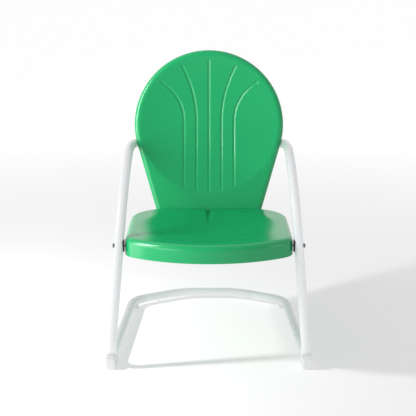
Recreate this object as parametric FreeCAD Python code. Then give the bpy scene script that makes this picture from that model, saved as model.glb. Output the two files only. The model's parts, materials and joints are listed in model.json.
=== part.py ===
import FreeCAD, Part
import math
import os

# Metal patio chair: a stamped steel seat and a round stamped back on a springy frame of bent tube.
# Millimetres, +Z up, the chair faces -Y, the right side is +X.

# Sheet steel of the seat and the back
SHEET = 1.2

# Steel tube of the frame
TUBE_DIAMETER = 26.5
TUBE_WALL = 1.5
FLOOR_GAP = 10.0

# Side frame: corners of the bent centreline, half-widths from the chair's middle plane
FOOT_HALF_WIDTH = 274.4
ARM_FRONT_HALF_WIDTH = 229.8
RUNNER_REAR_HALF_WIDTH = 246.0
ARM_END_HALF_WIDTH = 104.0
ARM_FRONT_HEIGHT = 593.0
ARM_REAR_HEIGHT = 533.0
LEG_LEAN = 88.0
FOOT_BEND = 48.0
ARM_FRONT_BEND = 268.0
ARM_REAR_BEND = 42.0
REAR_BEND = 80.0

# Room between the arm tubes and the edge of the back
ARM_SIDE_GAP = 2.0
ARM_BACK_GAP = 6.0

# Rear stretcher: a straight middle and ends swept forward, with swages inside the side frames
BASE_LENGTH = 616.0
STRETCHER_CORNER = 86.0
STRETCHER_BEND = 190.0
STRETCHER_SWEEP = 29.5
STRETCHER_STRAIGHT = 15.0
STRETCHER_SHOULDER = 4.0
SWAGE_LENGTH = 45.0
SWAGE_WALL = 1.5
SWAGE_CLEARANCE = 0.15

# Seat pan, in its own plane: depth runs from the front edge to the rear wall
SEAT_FRONT_HEIGHT = 370.0
SEAT_OVERHANG = 50.0
SEAT_DEPTH = 495.0
SEAT_SLOPE = 1.9
SEAT_SIDE_TAPER = 0.1
SEAT_FRONT_BOW_RADIUS = 347.0
SEAT_FRONT_CORNER = 67.5
SEAT_REAR_CORNER = 123.0
SEAT_ROLL = 16.0
SEAT_FLANGE = 50.0
SEAT_RIM_LAND = 6.0
SEAT_DISH_DEPTH = 12.0
SEAT_DISH_EDGE = 140.0

# Drain groove that runs from the dish to the seat's rear edge
DRAIN_LENGTH = 190.0
DRAIN_WIDTH = 30.0
DRAIN_DEPTH = 7.0
DRAIN_TIP_RADIUS = 1.5

# Round back, in its own plane, which leans to the rear
BACK_RECLINE = 14.0
BACK_RADIUS = 230.6
BACK_RISE = 267.0
BACK_SIDE_TAPER = 16.3
BACK_TAIL = 38.0
BACK_ROLL = 14.0
BACK_EDGE_DEPTH = 19.0
BACK_RIM_LAND = 1.5
BACK_DISH_DEPTH = 22.0
BACK_DISH_EDGE = 60.0
LANDING_DROP = 10.0

# Pressed grooves of the back: spacing of the upright stretches, and their ends from the dish's centre
GROOVE_RADIUS = 5.5
GROOVE_DEPTH = 2.6
GROOVE_SPACING = 38.8
GROOVE_TURN = 10.0
GROOVE_END_RADIUS = 197.0
GROOVE_LOW_RADIUS = 205.0
INNER_GROOVE_SPREAD = 24.7
OUTER_GROOVE_SPREAD = 48.8

# Dish rims are cut at this small angle to the flat land
DISH_BREAK_ANGLE = 2.0

# Front shoes, which square off the foot bends, and rear glides, both with a stem pushed into the tube
SHOE_REACH = 12.0
SHOE_TAIL = 12.0
SHOE_WIDTH = 25.0
SHOE_FRONT_HEIGHT = 32.0
SHOE_TOP_SLOPE = 17.0
SHOE_CORNER = 3.0
GLIDE_DIAMETER = 20.0
STEM_DIAMETER = 6.0
STEM_LENGTH = 6.0
FIT_CLEARANCE = 0.1

# Arm plugs
PLUG_FACE = 2.5
PLUG_STEM = 14.0

# Fasteners
BOLT_DIAMETER = 6.0
BOLT_CLEARANCE = 0.25
HEAD_DIAMETER = 11.0
HEAD_HEIGHT = 3.2
WASHER_DIAMETER = 14.0
WASHER_THICKNESS = 1.2
NUT_SIDES = 6
NUT_FLATS = 10.0
NUT_HEIGHT = 5.0
BOLT_TIP = 2.0
SCREW_DIAMETER = 4.8
SCREW_HEAD_DIAMETER = 9.0
SCREW_HEAD_HEIGHT = 2.2
SCREW_INSET = 20.0

# Seat to leg joint
SEAT_BOLT_DROP = 23.0
SPACER_THICKNESS = 1.5
SPACER_WIDTH = 16.0
SPACER_HEIGHT = 36.0
SEAT_BRACKET_THICKNESS = 8.0
SEAT_BRACKET_LENGTH = 30.0
SEAT_BRACKET_HEIGHT = 26.0

# Back to seat joint
BACK_BOLT_DROP = 18.0
BACK_BOLT_OFFSETS = (55.0, 112.0)

# Arm to back joint
BACK_BRACKET_OFFSET = 136.0
BACK_BRACKET_WIDTH = 38.0
BACK_BRACKET_HEIGHT = 30.0
BACK_BRACKET_SHEET = 2.5

TUBE_RADIUS = TUBE_DIAMETER / 2
TUBE_BORE = TUBE_RADIUS - TUBE_WALL
RUNNER_HEIGHT = FLOOR_GAP + TUBE_RADIUS
HOLE_RADIUS = BOLT_DIAMETER / 2 + BOLT_CLEARANCE
X_AXIS = FreeCAD.Vector(1, 0, 0)
Y_AXIS = FreeCAD.Vector(0, 1, 0)
Z_AXIS = FreeCAD.Vector(0, 0, 1)
ORIGIN = FreeCAD.Vector(0, 0, 0)


def vec(x, y, z):
    return FreeCAD.Vector(x, y, z)


def unit(v):
    return v * (1 / v.Length)


def sine(degrees):
    return math.sin(math.radians(degrees))


def cosine(degrees):
    return math.cos(math.radians(degrees))


def tangent(degrees):
    return math.tan(math.radians(degrees))


def mirrored(shape):
    return shape.mirror(ORIGIN, X_AXIS)


def rod(radius, start, end):
    along = end - start
    return Part.makeCylinder(radius, along.Length, start, along)


def hex_nut(centre, axis, height, bore):
    turn = 360 / NUT_SIDES
    corner = NUT_FLATS / 2 / cosine(turn / 2)
    points = []
    for step in range(NUT_SIDES + 1):
        points.append(vec(corner * cosine(turn * step), corner * sine(turn * step), 0))
    prism = Part.Face(Part.makePolygon(points)).extrude(vec(0, 0, height))
    prism = prism.cut(Part.makeCylinder(bore, height))
    prism.Placement = FreeCAD.Placement(centre, FreeCAD.Rotation(Z_AXIS, axis))
    return prism


def ring(centre, axis, outer, inner, height):
    return Part.makeCylinder(outer, height, centre, axis).cut(Part.makeCylinder(inner, height, centre, axis))


def bolt(head_seat, axis, length):
    """A button-headed bolt: the head stands off its seat against the axis, the shank runs along it."""
    head = Part.makeCylinder(HEAD_DIAMETER / 2, HEAD_HEIGHT, head_seat, axis * -1)
    far_edges = []
    for edge in head.Edges:
        if abs((edge.CenterOfMass - head_seat).dot(axis) + HEAD_HEIGHT) < HEAD_HEIGHT / 4:
            far_edges.append(edge)
    head = head.makeFillet(HEAD_HEIGHT / 2, far_edges)
    shank = Part.makeCylinder(BOLT_DIAMETER / 2, length, head_seat, axis)
    return head.fuse(shank).removeSplitter()


# Bent tubes


def bend(before, corner, after, radius):
    """Start, centre and end of the arc that rounds one corner of a centreline."""
    back = unit(before - corner)
    ahead = unit(after - corner)
    half_turn = (math.pi - back.getAngle(ahead)) / 2
    run = radius * math.tan(half_turn)
    centre = corner + unit(back + ahead) * (radius / math.cos(half_turn))
    return corner + back * run, centre, corner + ahead * run


def arc_point(start, centre, end, share):
    """The point at a share of the way round an arc."""
    first = start - centre
    axis = first.cross(end - centre)
    turn = math.degrees(first.getAngle(end - centre)) * share
    return centre + FreeCAD.Rotation(axis, turn).multVec(first)


def arc_edge(start, centre, end):
    return Part.Arc(start, arc_point(start, centre, end, 0.5), end).toShape()


def bent_path(points, radii):
    """A wire of straight runs with a tangent arc at each inner point."""
    edges = []
    last = points[0]
    for index, radius in enumerate(radii):
        start, centre, end = bend(points[index], points[index + 1], points[index + 2], radius)
        edges.append(Part.makeLine(last, start))
        edges.append(arc_edge(start, centre, end))
        last = end
    edges.append(Part.makeLine(last, points[-1]))
    return Part.Wire(edges)


def swept(path, start, along, outer, inner):
    """A round bar along a path, or a tube where the inner radius isn't nought."""
    bar = path.makePipe(Part.Face(Part.Wire([Part.makeCircle(outer, start, along)])))
    if not inner:
        return bar
    return bar.cut(path.makePipe(Part.Face(Part.Wire([Part.makeCircle(inner, start, along)]))))


# Where the seat and the back stand


def seat_point(x, depth, height):
    """A point of the seat's own frame in the chair's frame."""
    return vec(x, -SEAT_OVERHANG + depth * cosine(SEAT_SLOPE) + height * sine(SEAT_SLOPE),
               SEAT_FRONT_HEIGHT - depth * sine(SEAT_SLOPE) + height * cosine(SEAT_SLOPE))


def place_seat(shape):
    return shape.rotated(ORIGIN, X_AXIS, -SEAT_SLOPE).translated(seat_point(0, 0, 0))


def back_origin():
    """The middle of the line where the back's front face meets the seat's rear wall."""
    return seat_point(0, SEAT_DEPTH, -LANDING_DROP)


def back_point(x, up, front):
    """A point of the back's own frame in the chair's frame."""
    offset = vec(x, up * sine(BACK_RECLINE) - front * cosine(BACK_RECLINE),
                 up * cosine(BACK_RECLINE) + front * sine(BACK_RECLINE))
    return back_origin() + offset


def back_front_axis():
    return vec(0, -cosine(BACK_RECLINE), sine(BACK_RECLINE))


def place_back(shape):
    return shape.rotated(ORIGIN, X_AXIS, 90 - BACK_RECLINE).translated(back_origin())


def back_half_width(up):
    """Half the back's width at a height in its own plane."""
    below = BACK_RISE - up
    if below < BACK_RADIUS * sine(BACK_SIDE_TAPER):
        return math.sqrt(BACK_RADIUS ** 2 - below ** 2)
    return (BACK_RADIUS - below * sine(BACK_SIDE_TAPER)) / cosine(BACK_SIDE_TAPER)


# Side frame


def stretcher_corner():
    return vec(STRETCHER_CORNER, BASE_LENGTH, RUNNER_HEIGHT)


def stretcher_end(extra):
    """A point in line with the stretcher's swept end, measured out from the end of its plain tube."""
    reach = STRETCHER_BEND * tangent(STRETCHER_SWEEP / 2) + STRETCHER_STRAIGHT + extra
    return stretcher_corner() + vec(cosine(STRETCHER_SWEEP), -sine(STRETCHER_SWEEP), 0) * reach


def foot_corner():
    return vec(FOOT_HALF_WIDTH, 0, RUNNER_HEIGHT)


def arm_front_corner():
    return vec(ARM_FRONT_HALF_WIDTH, LEG_LEAN, ARM_FRONT_HEIGHT)


def arm_rear_corner():
    """The corner where the arm turns in behind the edge of the back."""
    up = (ARM_REAR_HEIGHT - back_origin().z) / cosine(BACK_RECLINE)
    edge_rear = back_origin().y + up * sine(BACK_RECLINE) + BACK_EDGE_DEPTH / cosine(BACK_RECLINE)
    half_width = back_half_width(up + TUBE_RADIUS) + TUBE_RADIUS + ARM_SIDE_GAP
    return vec(half_width, edge_rear + ARM_BACK_GAP + ARM_REAR_BEND, ARM_REAR_HEIGHT)


def arm_end():
    corner = arm_rear_corner()
    return vec(ARM_END_HALF_WIDTH, corner.y, corner.z)


def runner_rear_corner():
    seam = stretcher_end(STRETCHER_SHOULDER)
    drop = (RUNNER_REAR_HALF_WIDTH - seam.x) * tangent(STRETCHER_SWEEP)
    return vec(RUNNER_REAR_HALF_WIDTH, seam.y - drop, RUNNER_HEIGHT)


def side_corners():
    return [stretcher_end(STRETCHER_SHOULDER), runner_rear_corner(), foot_corner(), arm_front_corner(),
            arm_rear_corner(), arm_end()]


def side_bar(radius, bore):
    corners = side_corners()
    path = bent_path(corners, [REAR_BEND, FOOT_BEND, ARM_FRONT_BEND, ARM_REAR_BEND])
    return swept(path, corners[0], corners[1] - corners[0], radius, bore)


def leg_at_seat():
    """The point of the leg's centreline level with the seat bolt."""
    low = foot_corner()
    rise = arm_front_corner() - low
    bolt_plane = seat_point(0, 0, -SEAT_BOLT_DROP)
    plane_normal = vec(0, sine(SEAT_SLOPE), cosine(SEAT_SLOPE))
    share = (bolt_plane - low).dot(plane_normal) / rise.dot(plane_normal)
    return low + rise * share


def arm_bolt_point():
    corner = arm_rear_corner()
    return vec(BACK_BRACKET_OFFSET, corner.y, corner.z)


def shoe_point():
    """The point of the runner's centreline where the foot bend ends."""
    corners = side_corners()
    return bend(corners[1], corners[2], corners[3], FOOT_BEND)[0]


def glide_point():
    """The point of the runner's centreline in the middle of the rear bend."""
    corners = side_corners()
    return arc_point(*bend(corners[0], corners[1], corners[2], REAR_BEND), 0.5)


def stem(point, radius):
    """A round stem from the middle of the floor gap into the runner above it."""
    top = FLOOR_GAP + TUBE_WALL + STEM_LENGTH
    return rod(radius, vec(point.x, point.y, FLOOR_GAP / 2), vec(point.x, point.y, top))


def screw_point():
    return stretcher_end(STRETCHER_SHOULDER + SCREW_INSET)


def side_frame():
    """One bent tube from the hidden arm end to the rear stretcher, drilled for its fasteners."""
    tube = side_bar(TUBE_RADIUS, TUBE_BORE)
    leg = leg_at_seat()
    arm = arm_bolt_point()
    across = vec(TUBE_DIAMETER, 0, 0)
    through = vec(0, TUBE_DIAMETER, 0)
    screw = screw_point()
    holes = [
        rod(HOLE_RADIUS, leg - across, leg + across),
        rod(HOLE_RADIUS, arm - through, arm + through),
        stem(shoe_point(), STEM_DIAMETER / 2 + FIT_CLEARANCE),
        stem(glide_point(), STEM_DIAMETER / 2 + FIT_CLEARANCE),
        rod(SCREW_DIAMETER / 2 + FIT_CLEARANCE, vec(screw.x, screw.y, 0), screw),
    ]
    return tube.cut(holes)


def rear_stretcher():
    """A tube with two gentle bends, and a shoulder and a swaged end on each side."""
    end = stretcher_end(0)
    corner = stretcher_corner()
    other_corner = vec(-corner.x, corner.y, corner.z)
    path = bent_path([end, corner, other_corner, vec(-end.x, end.y, end.z)], [STRETCHER_BEND, STRETCHER_BEND])
    outward = unit(end - corner)
    tube = swept(path, end, outward, TUBE_RADIUS, TUBE_BORE)
    swage_radius = TUBE_BORE - SWAGE_CLEARANCE
    shoulder = ring(end, outward, TUBE_RADIUS, swage_radius - SWAGE_WALL, STRETCHER_SHOULDER)
    swage = ring(stretcher_end(STRETCHER_SHOULDER), outward, swage_radius, swage_radius - SWAGE_WALL, SWAGE_LENGTH)
    screw = screw_point()
    hole = rod(SCREW_DIAMETER / 2 + FIT_CLEARANCE, vec(screw.x, screw.y, 0), screw)
    end_piece = shoulder.fuse(swage).cut(hole)
    return tube.fuse([end_piece, mirrored(end_piece)]).removeSplitter()


# Feet


def below_tube(block):
    """The part of a block that lies outside and under the side frame's tube."""
    pieces = block.cut(side_bar(TUBE_RADIUS + FIT_CLEARANCE, 0)).Solids
    return min(pieces, key=lambda piece: piece.BoundBox.ZMin)


def front_shoe():
    """A plastic block that squares off the foot bend and stands flat on the floor."""
    corner = foot_corner()
    point = shoe_point()
    along = unit(runner_rear_corner() - corner)
    toe_in = math.degrees(math.atan2(-along.x, along.y))
    runner_start = (point - corner).Length
    top_height = SHOE_FRONT_HEIGHT + (SHOE_REACH + TUBE_RADIUS) * tangent(SHOE_TOP_SLOPE)
    profile = Part.makePolygon([
        vec(0, -SHOE_REACH, 0),
        vec(0, runner_start + SHOE_TAIL, 0),
        vec(0, runner_start + SHOE_TAIL, RUNNER_HEIGHT),
        vec(0, runner_start, RUNNER_HEIGHT),
        vec(0, TUBE_RADIUS, top_height),
        vec(0, -SHOE_REACH, SHOE_FRONT_HEIGHT),
        vec(0, -SHOE_REACH, 0),
    ])
    block = Part.Face(profile).extrude(X_AXIS * SHOE_WIDTH).translated(X_AXIS * (-SHOE_WIDTH / 2))
    upright = []
    for edge in block.Edges:
        if edge.BoundBox.ZLength > SHOE_FRONT_HEIGHT / 2 and edge.BoundBox.YMin < -SHOE_REACH / 2:
            upright.append(edge)
    block = block.makeFillet(SHOE_CORNER, upright)
    block = block.rotated(ORIGIN, Z_AXIS, toe_in).translated(vec(corner.x, corner.y, 0))
    return below_tube(block).fuse(stem(point, STEM_DIAMETER / 2)).removeSplitter()


def rear_glide():
    """A plastic button under the rear corner."""
    point = glide_point()
    button = Part.makeCylinder(GLIDE_DIAMETER / 2, RUNNER_HEIGHT, vec(point.x, point.y, 0))
    return below_tube(button).fuse(stem(point, STEM_DIAMETER / 2)).removeSplitter()


def arm_plug():
    end = arm_end()
    face = Part.makeCylinder(TUBE_RADIUS, PLUG_FACE, end, X_AXIS * -1)
    stem = Part.makeCylinder(TUBE_BORE - FIT_CLEARANCE, PLUG_STEM, end, X_AXIS)
    return face.fuse(stem).removeSplitter()


# Seat


def seat_side_line():
    """Half-width of the seat's straight side at the bolt, and the bolt's depth in the seat's frame."""
    leg = leg_at_seat()
    depth = (leg.y + SEAT_OVERHANG + SEAT_BOLT_DROP * sine(SEAT_SLOPE)) / cosine(SEAT_SLOPE)
    return leg.x - TUBE_RADIUS - SPACER_THICKNESS, depth


def seat_corner_centres():
    """Centres of the right front and right rear corner arcs, as (half-width, depth)."""
    half_width, bolt_depth = seat_side_line()
    lean = tangent(SEAT_SIDE_TAPER)
    front_base = half_width - SEAT_FRONT_CORNER / cosine(SEAT_SIDE_TAPER)
    reach = SEAT_FRONT_BOW_RADIUS - SEAT_FRONT_CORNER
    # x = front_base - lean * (depth - bolt_depth) meets the circle of this reach about the bow's centre
    offset = front_base + lean * (bolt_depth - SEAT_FRONT_BOW_RADIUS)
    square = 1 + lean ** 2
    linear = -offset * lean
    constant = offset ** 2 - reach ** 2
    shift = (-linear - math.sqrt(linear ** 2 - square * constant)) / square
    front_depth = SEAT_FRONT_BOW_RADIUS + shift
    rear_depth = SEAT_DEPTH - SEAT_REAR_CORNER
    rear_base = half_width - SEAT_REAR_CORNER / cosine(SEAT_SIDE_TAPER)
    front = (front_base - lean * (front_depth - bolt_depth), front_depth)
    rear = (rear_base - lean * (rear_depth - bolt_depth), rear_depth)
    return front, rear


def seat_half_width(depth):
    """Half-width of the seat's outline at a depth on its front corner or its straight side."""
    front = seat_corner_centres()[0]
    half_width, bolt_depth = seat_side_line()
    if depth < front[1] + SEAT_FRONT_CORNER * sine(SEAT_SIDE_TAPER):
        return front[0] + math.sqrt(SEAT_FRONT_CORNER ** 2 - (depth - front[1]) ** 2)
    return half_width - tangent(SEAT_SIDE_TAPER) * (depth - bolt_depth)


def seat_outline(inset, height):
    """The seat's plan outline, set in all round by the inset."""
    front, rear = seat_corner_centres()
    bow_centre = vec(0, SEAT_FRONT_BOW_RADIUS, height)
    front_centre = vec(front[0], front[1], height)
    rear_centre = vec(rear[0], rear[1], height)
    side = vec(cosine(SEAT_SIDE_TAPER), sine(SEAT_SIDE_TAPER), 0)
    front_radius = SEAT_FRONT_CORNER - inset
    rear_radius = SEAT_REAR_CORNER - inset
    bow_end = bow_centre + unit(front_centre - bow_centre) * (SEAT_FRONT_BOW_RADIUS - inset)
    side_front = front_centre + side * front_radius
    side_rear = rear_centre + side * rear_radius
    rear_end = rear_centre + Y_AXIS * rear_radius
    right = [
        arc_edge(bow_end, front_centre, side_front),
        Part.makeLine(side_front, side_rear),
        arc_edge(side_rear, rear_centre, rear_end),
    ]
    left = [mirrored(edge) for edge in right]
    bow_left = vec(-bow_end.x, bow_end.y, height)
    bow = Part.Arc(bow_left, vec(0, inset, height), bow_end).toShape()
    rear_line = Part.makeLine(rear_end, vec(-rear_end.x, rear_end.y, height))
    return Part.Wire(Part.__sortEdges__([bow, rear_line] + right + left))


def top_edges(solid, height):
    edges = []
    for edge in solid.Edges:
        if edge.BoundBox.ZMin > height - SHEET / 10:
            edges.append(edge)
    return edges


def dish_ball(radius, depth, edge_radius):
    """Slope at the rim of a dish, and the height and radius of the ball that it is a part of."""
    slope = 2 * math.atan2(depth, radius)
    reach = radius / math.sin(slope)
    return slope, reach * math.cos(slope) - edge_radius, reach - edge_radius


def dish(radius, depth, edge_radius, inset):
    """All that lies in front of a round dish, whose surface is set back by the inset.

    The dish is a shallow ball hollow that rolls over an edge radius on to the flat land at height nought.
    """
    slope, centre_height, ball = dish_ball(radius, depth, edge_radius)
    ball = ball + inset
    edge = edge_radius - inset

    def ball_at(angle):
        return vec(ball * math.sin(angle), 0, centre_height - ball * math.cos(angle))

    def edge_at(angle):
        return vec(radius - edge * math.sin(angle), 0, edge * math.cos(angle) - edge_radius)

    first = math.radians(DISH_BREAK_ANGLE)
    rim = edge_at(first)
    outer = rim + vec(math.cos(first), 0, math.sin(first)) * (depth / math.sin(first))
    top = vec(0, 0, outer.z)
    profile = Part.Wire([
        Part.Arc(ball_at(0), ball_at(slope / 2), ball_at(slope)).toShape(),
        Part.Arc(ball_at(slope), edge_at((slope + first) / 2), rim).toShape(),
        Part.makeLine(rim, outer),
        Part.makeLine(outer, top),
        Part.makeLine(top, ball_at(0)),
    ])
    return Part.Face(profile).revolve(ORIGIN, Z_AXIS, 360)


def seat_dish_centre():
    return SEAT_DEPTH / 2


def seat_dish_radius():
    middle = seat_dish_centre()
    room = min(seat_half_width(middle), middle)
    return room - SEAT_ROLL - SEAT_RIM_LAND


def drain_cone(inset):
    """A cone lying along the seat whose underside presses the drain groove."""
    rear_radius = (DRAIN_WIDTH ** 2 / 4 + DRAIN_DEPTH ** 2) / (2 * DRAIN_DEPTH)
    front = vec(0, SEAT_DEPTH - DRAIN_LENGTH, DRAIN_TIP_RADIUS - SEAT_DISH_DEPTH)
    rear = vec(0, SEAT_DEPTH, rear_radius - DRAIN_DEPTH)
    along = rear - front
    overrun = SEAT_ROLL / along.Length
    growth = rear_radius - DRAIN_TIP_RADIUS
    return Part.makeCone(DRAIN_TIP_RADIUS + inset, rear_radius + inset + growth * overrun,
                         along.Length * (1 + overrun), front, along)


def behind_back(front):
    """All that lies behind the back's front face, set forward by an amount, in the seat's frame."""
    size = SEAT_DEPTH
    block = Part.makeBox(2 * size, 2 * size, size, vec(-size, -size, front - size))
    tilt = 90 - BACK_RECLINE + SEAT_SLOPE
    return block.rotated(ORIGIN, X_AXIS, tilt).translated(vec(0, SEAT_DEPTH, -LANDING_DROP))


def seat_block(inset, overrun):
    """The seat's form as a full block, set in all round by the sheet for its hollow."""
    outline = Part.Face(seat_outline(inset, -inset))
    block = outline.extrude(vec(0, 0, -(SEAT_FLANGE - inset + overrun)))
    block = block.makeFillet(SEAT_ROLL - inset, top_edges(block, -inset))
    hollow = dish(seat_dish_radius(), SEAT_DISH_DEPTH, SEAT_DISH_EDGE, inset)
    hollow = hollow.translated(vec(0, seat_dish_centre(), 0))
    return block.cut([hollow, drain_cone(inset), behind_back(inset)])


def seat_hollow():
    return seat_block(SHEET, SHEET)


def seat_bolt_line(start, end):
    """A line across the seat at the leg bolt, between two half-widths, in the chair's frame."""
    leg = leg_at_seat()
    return vec(start, leg.y, leg.z), vec(end, leg.y, leg.z)


def back_bolt_points(front):
    """Where the back bolts cross the plane that lies this far in front of the back's front face."""
    points = []
    for offset in BACK_BOLT_OFFSETS:
        for side in (-1, 1):
            points.append(back_point(side * offset, -BACK_BOLT_DROP, front))
    return points


def back_bolt_holes():
    holes = []
    for point in back_bolt_points(-BACK_ROLL):
        holes.append(Part.makeCylinder(HOLE_RADIUS, 2 * BACK_ROLL, point, back_front_axis()))
    return holes


def seat_pan():
    """The stamped seat: rolled edge, turned-down flange, shallow dish, drain groove and bolt holes."""
    pan = place_seat(seat_block(0, 0).cut(seat_hollow()))
    leg = leg_at_seat()
    leg_hole = rod(HOLE_RADIUS, *seat_bolt_line(leg.x - TUBE_DIAMETER * 2, leg.x))
    return pan.cut([leg_hole, mirrored(leg_hole)] + back_bolt_holes())


def seat_wall_at_bolt():
    """Half-width of the inner face of the seat's flange at the leg bolt."""
    return seat_half_width(seat_side_line()[1]) - SHEET


def seat_bracket():
    """A stiffening block that fills the curve inside the seat's flange behind the leg bolt's nut."""
    leg = leg_at_seat()
    wall = seat_wall_at_bolt()
    block = Part.makeBox(TUBE_DIAMETER, SEAT_BRACKET_LENGTH, SEAT_BRACKET_HEIGHT,
                         vec(wall - SEAT_BRACKET_THICKNESS, leg.y - SEAT_BRACKET_LENGTH / 2,
                             leg.z - SEAT_BRACKET_HEIGHT / 2))
    hole = rod(HOLE_RADIUS, *seat_bolt_line(leg.x - TUBE_DIAMETER * 2, leg.x))
    return block.common(place_seat(seat_hollow())).cut(hole)


def seat_spacer():
    """An oblong black spacer between the seat's flange and the leg."""
    leg = leg_at_seat()
    start, end = seat_bolt_line(leg.x - TUBE_DIAMETER, leg.x)
    half_width = SPACER_WIDTH / 2
    rise = Z_AXIS * (SPACER_HEIGHT / 2 - half_width)
    blank = Part.makeBox(TUBE_DIAMETER, SPACER_WIDTH, 2 * rise.z, start - rise - Y_AXIS * half_width)
    blank = blank.fuse([rod(half_width, start + rise, end + rise), rod(half_width, start - rise, end - rise)])
    hole = rod(HOLE_RADIUS, start, end)
    spacer = blank.removeSplitter().cut([hole, place_seat(seat_block(0, SEAT_FLANGE))])
    return spacer.cut(side_bar(TUBE_RADIUS + FIT_CLEARANCE, 0))


def saddle_washer(point, axis):
    """A washer hollowed to sit on the tube, with its flat face outwards."""
    height = TUBE_RADIUS + WASHER_THICKNESS
    blank = ring(point, axis, WASHER_DIAMETER / 2, HOLE_RADIUS, height)
    return blank.cut(side_bar(TUBE_RADIUS, 0))


def seat_leg_washer():
    return saddle_washer(leg_at_seat(), X_AXIS)


def seat_leg_bolt():
    leg = leg_at_seat()
    seat = leg + X_AXIS * (TUBE_RADIUS + WASHER_THICKNESS)
    length = seat.x - seat_wall_at_bolt() + SEAT_BRACKET_THICKNESS + NUT_HEIGHT + BOLT_TIP
    return bolt(seat, X_AXIS * -1, length)


def seat_leg_nut():
    leg = leg_at_seat()
    seat = vec(seat_wall_at_bolt() - SEAT_BRACKET_THICKNESS, leg.y, leg.z)
    return hex_nut(seat, X_AXIS * -1, NUT_HEIGHT, BOLT_DIAMETER / 2)


# Back


def back_outline(inset, tail):
    """The back's outline in its own plane: a round top on straight tapered sides."""
    radius = BACK_RADIUS - inset
    centre = vec(0, BACK_RISE, -inset)
    touch = centre + vec(cosine(BACK_SIDE_TAPER), -sine(BACK_SIDE_TAPER), 0) * radius
    drop = touch.y + tail
    foot = vec(touch.x - drop * tangent(BACK_SIDE_TAPER), -tail, -inset)
    other_touch = vec(-touch.x, touch.y, touch.z)
    other_foot = vec(-foot.x, foot.y, foot.z)
    return Part.Wire([
        Part.Arc(touch, centre + Y_AXIS * radius, other_touch).toShape(),
        Part.makeLine(other_touch, other_foot),
        Part.makeLine(other_foot, foot),
        Part.makeLine(foot, touch),
    ])


def back_dish_radius():
    return BACK_RADIUS - BACK_ROLL - BACK_RIM_LAND


def back_dish_ball():
    """Centre and radius of the ball surface of the back's dish."""
    slope, height, ball = dish_ball(back_dish_radius(), BACK_DISH_DEPTH, BACK_DISH_EDGE)
    return vec(0, BACK_RISE, height), ball


def back_core_radius():
    """Where the dish is half as deep as the rolled edge: its middle reaches further back than the edge."""
    centre, ball = back_dish_ball()
    return math.sqrt(ball ** 2 - (centre.z + BACK_EDGE_DEPTH / 2) ** 2)


def back_dish(inset):
    hollow = dish(back_dish_radius(), BACK_DISH_DEPTH, BACK_DISH_EDGE, inset)
    return hollow.translated(vec(0, BACK_RISE, 0))


def groove_point(x, up):
    """A point of a groove's centreline, which keeps a steady distance from the dish."""
    centre, ball = back_dish_ball()
    radius = ball - GROOVE_RADIUS + GROOVE_DEPTH
    rise = up - BACK_RISE
    return vec(x, up, centre.z - math.sqrt(radius ** 2 - x ** 2 - rise ** 2))


def groove_low_end(x):
    return groove_point(x, BACK_RISE - math.sqrt(GROOVE_LOW_RADIUS ** 2 - x ** 2))


def groove_sweep(turn, end):
    """The arc on the dish's ball that leaves the upright stretch smoothly and runs to the groove's end."""
    centre = back_dish_ball()[0]
    out = turn - centre
    upright = unit(vec(0, -out.z, out.y))
    normal = unit(upright.cross(end - turn))
    ring_centre = centre + normal * out.dot(normal)
    return arc_edge(turn, ring_centre, end)


def groove_paths():
    """Centrelines of the five grooves with their two ends."""
    low = groove_low_end(0)
    high = groove_point(0, BACK_RISE + GROOVE_END_RADIUS)
    middle = groove_point(0, BACK_RISE)
    paths = [([Part.Arc(low, middle, high).toShape()], low, high)]
    for step, spread in ((1, INNER_GROOVE_SPREAD), (2, OUTER_GROOVE_SPREAD)):
        x = step * GROOVE_SPACING
        low = groove_low_end(x)
        turn = groove_point(x, BACK_RISE + GROOVE_TURN)
        half = groove_point(x, (low.y + turn.y) / 2)
        end = groove_point(GROOVE_END_RADIUS * sine(spread), BACK_RISE + GROOVE_END_RADIUS * cosine(spread))
        edges = [Part.Arc(low, half, turn).toShape(), groove_sweep(turn, end)]
        paths.append((edges, low, end))
        paths.append(([mirrored(edge) for edge in edges], vec(-low.x, low.y, low.z), vec(-end.x, end.y, end.z)))
    return paths


def groove_bars(inset):
    """Round bars with ball ends along the grooves, as thick as the groove or as the bead behind it."""
    radius = GROOVE_RADIUS + inset
    bars = []
    for edges, low, high in groove_paths():
        along = edges[0].tangentAt(edges[0].FirstParameter)
        bars.append(swept(Part.Wire(edges), low, along, radius, 0))
        bars.append(Part.makeSphere(radius, low))
        bars.append(Part.makeSphere(radius, high))
    return bars


def back_block(inset, overrun):
    """The back's form as a full block, set in all round by the sheet for its hollow."""
    outline = Part.Face(back_outline(inset, BACK_TAIL + overrun))
    block = outline.extrude(vec(0, 0, -(BACK_EDGE_DEPTH - inset + overrun)))
    rolled = []
    for edge in top_edges(block, -inset):
        if edge.BoundBox.YLength > BACK_TAIL:
            rolled.append(edge)
    block = block.makeFillet(BACK_ROLL - inset, rolled)
    core_depth = BACK_DISH_DEPTH + GROOVE_DEPTH + 2 * SHEET + overrun
    core = Part.makeCylinder(back_core_radius() + overrun, core_depth, vec(0, BACK_RISE, -inset), Z_AXIS * -1)
    return block.fuse(core).cut([back_dish(inset)] + groove_bars(inset))


def back_shell():
    """The stamped back: rolled edge, ball dish, pressed grooves and a flat skirt with bolt holes."""
    shell = back_block(0, 0).cut(back_block(SHEET, SHEET))
    return place_back(shell).cut(back_bolt_holes())


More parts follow.
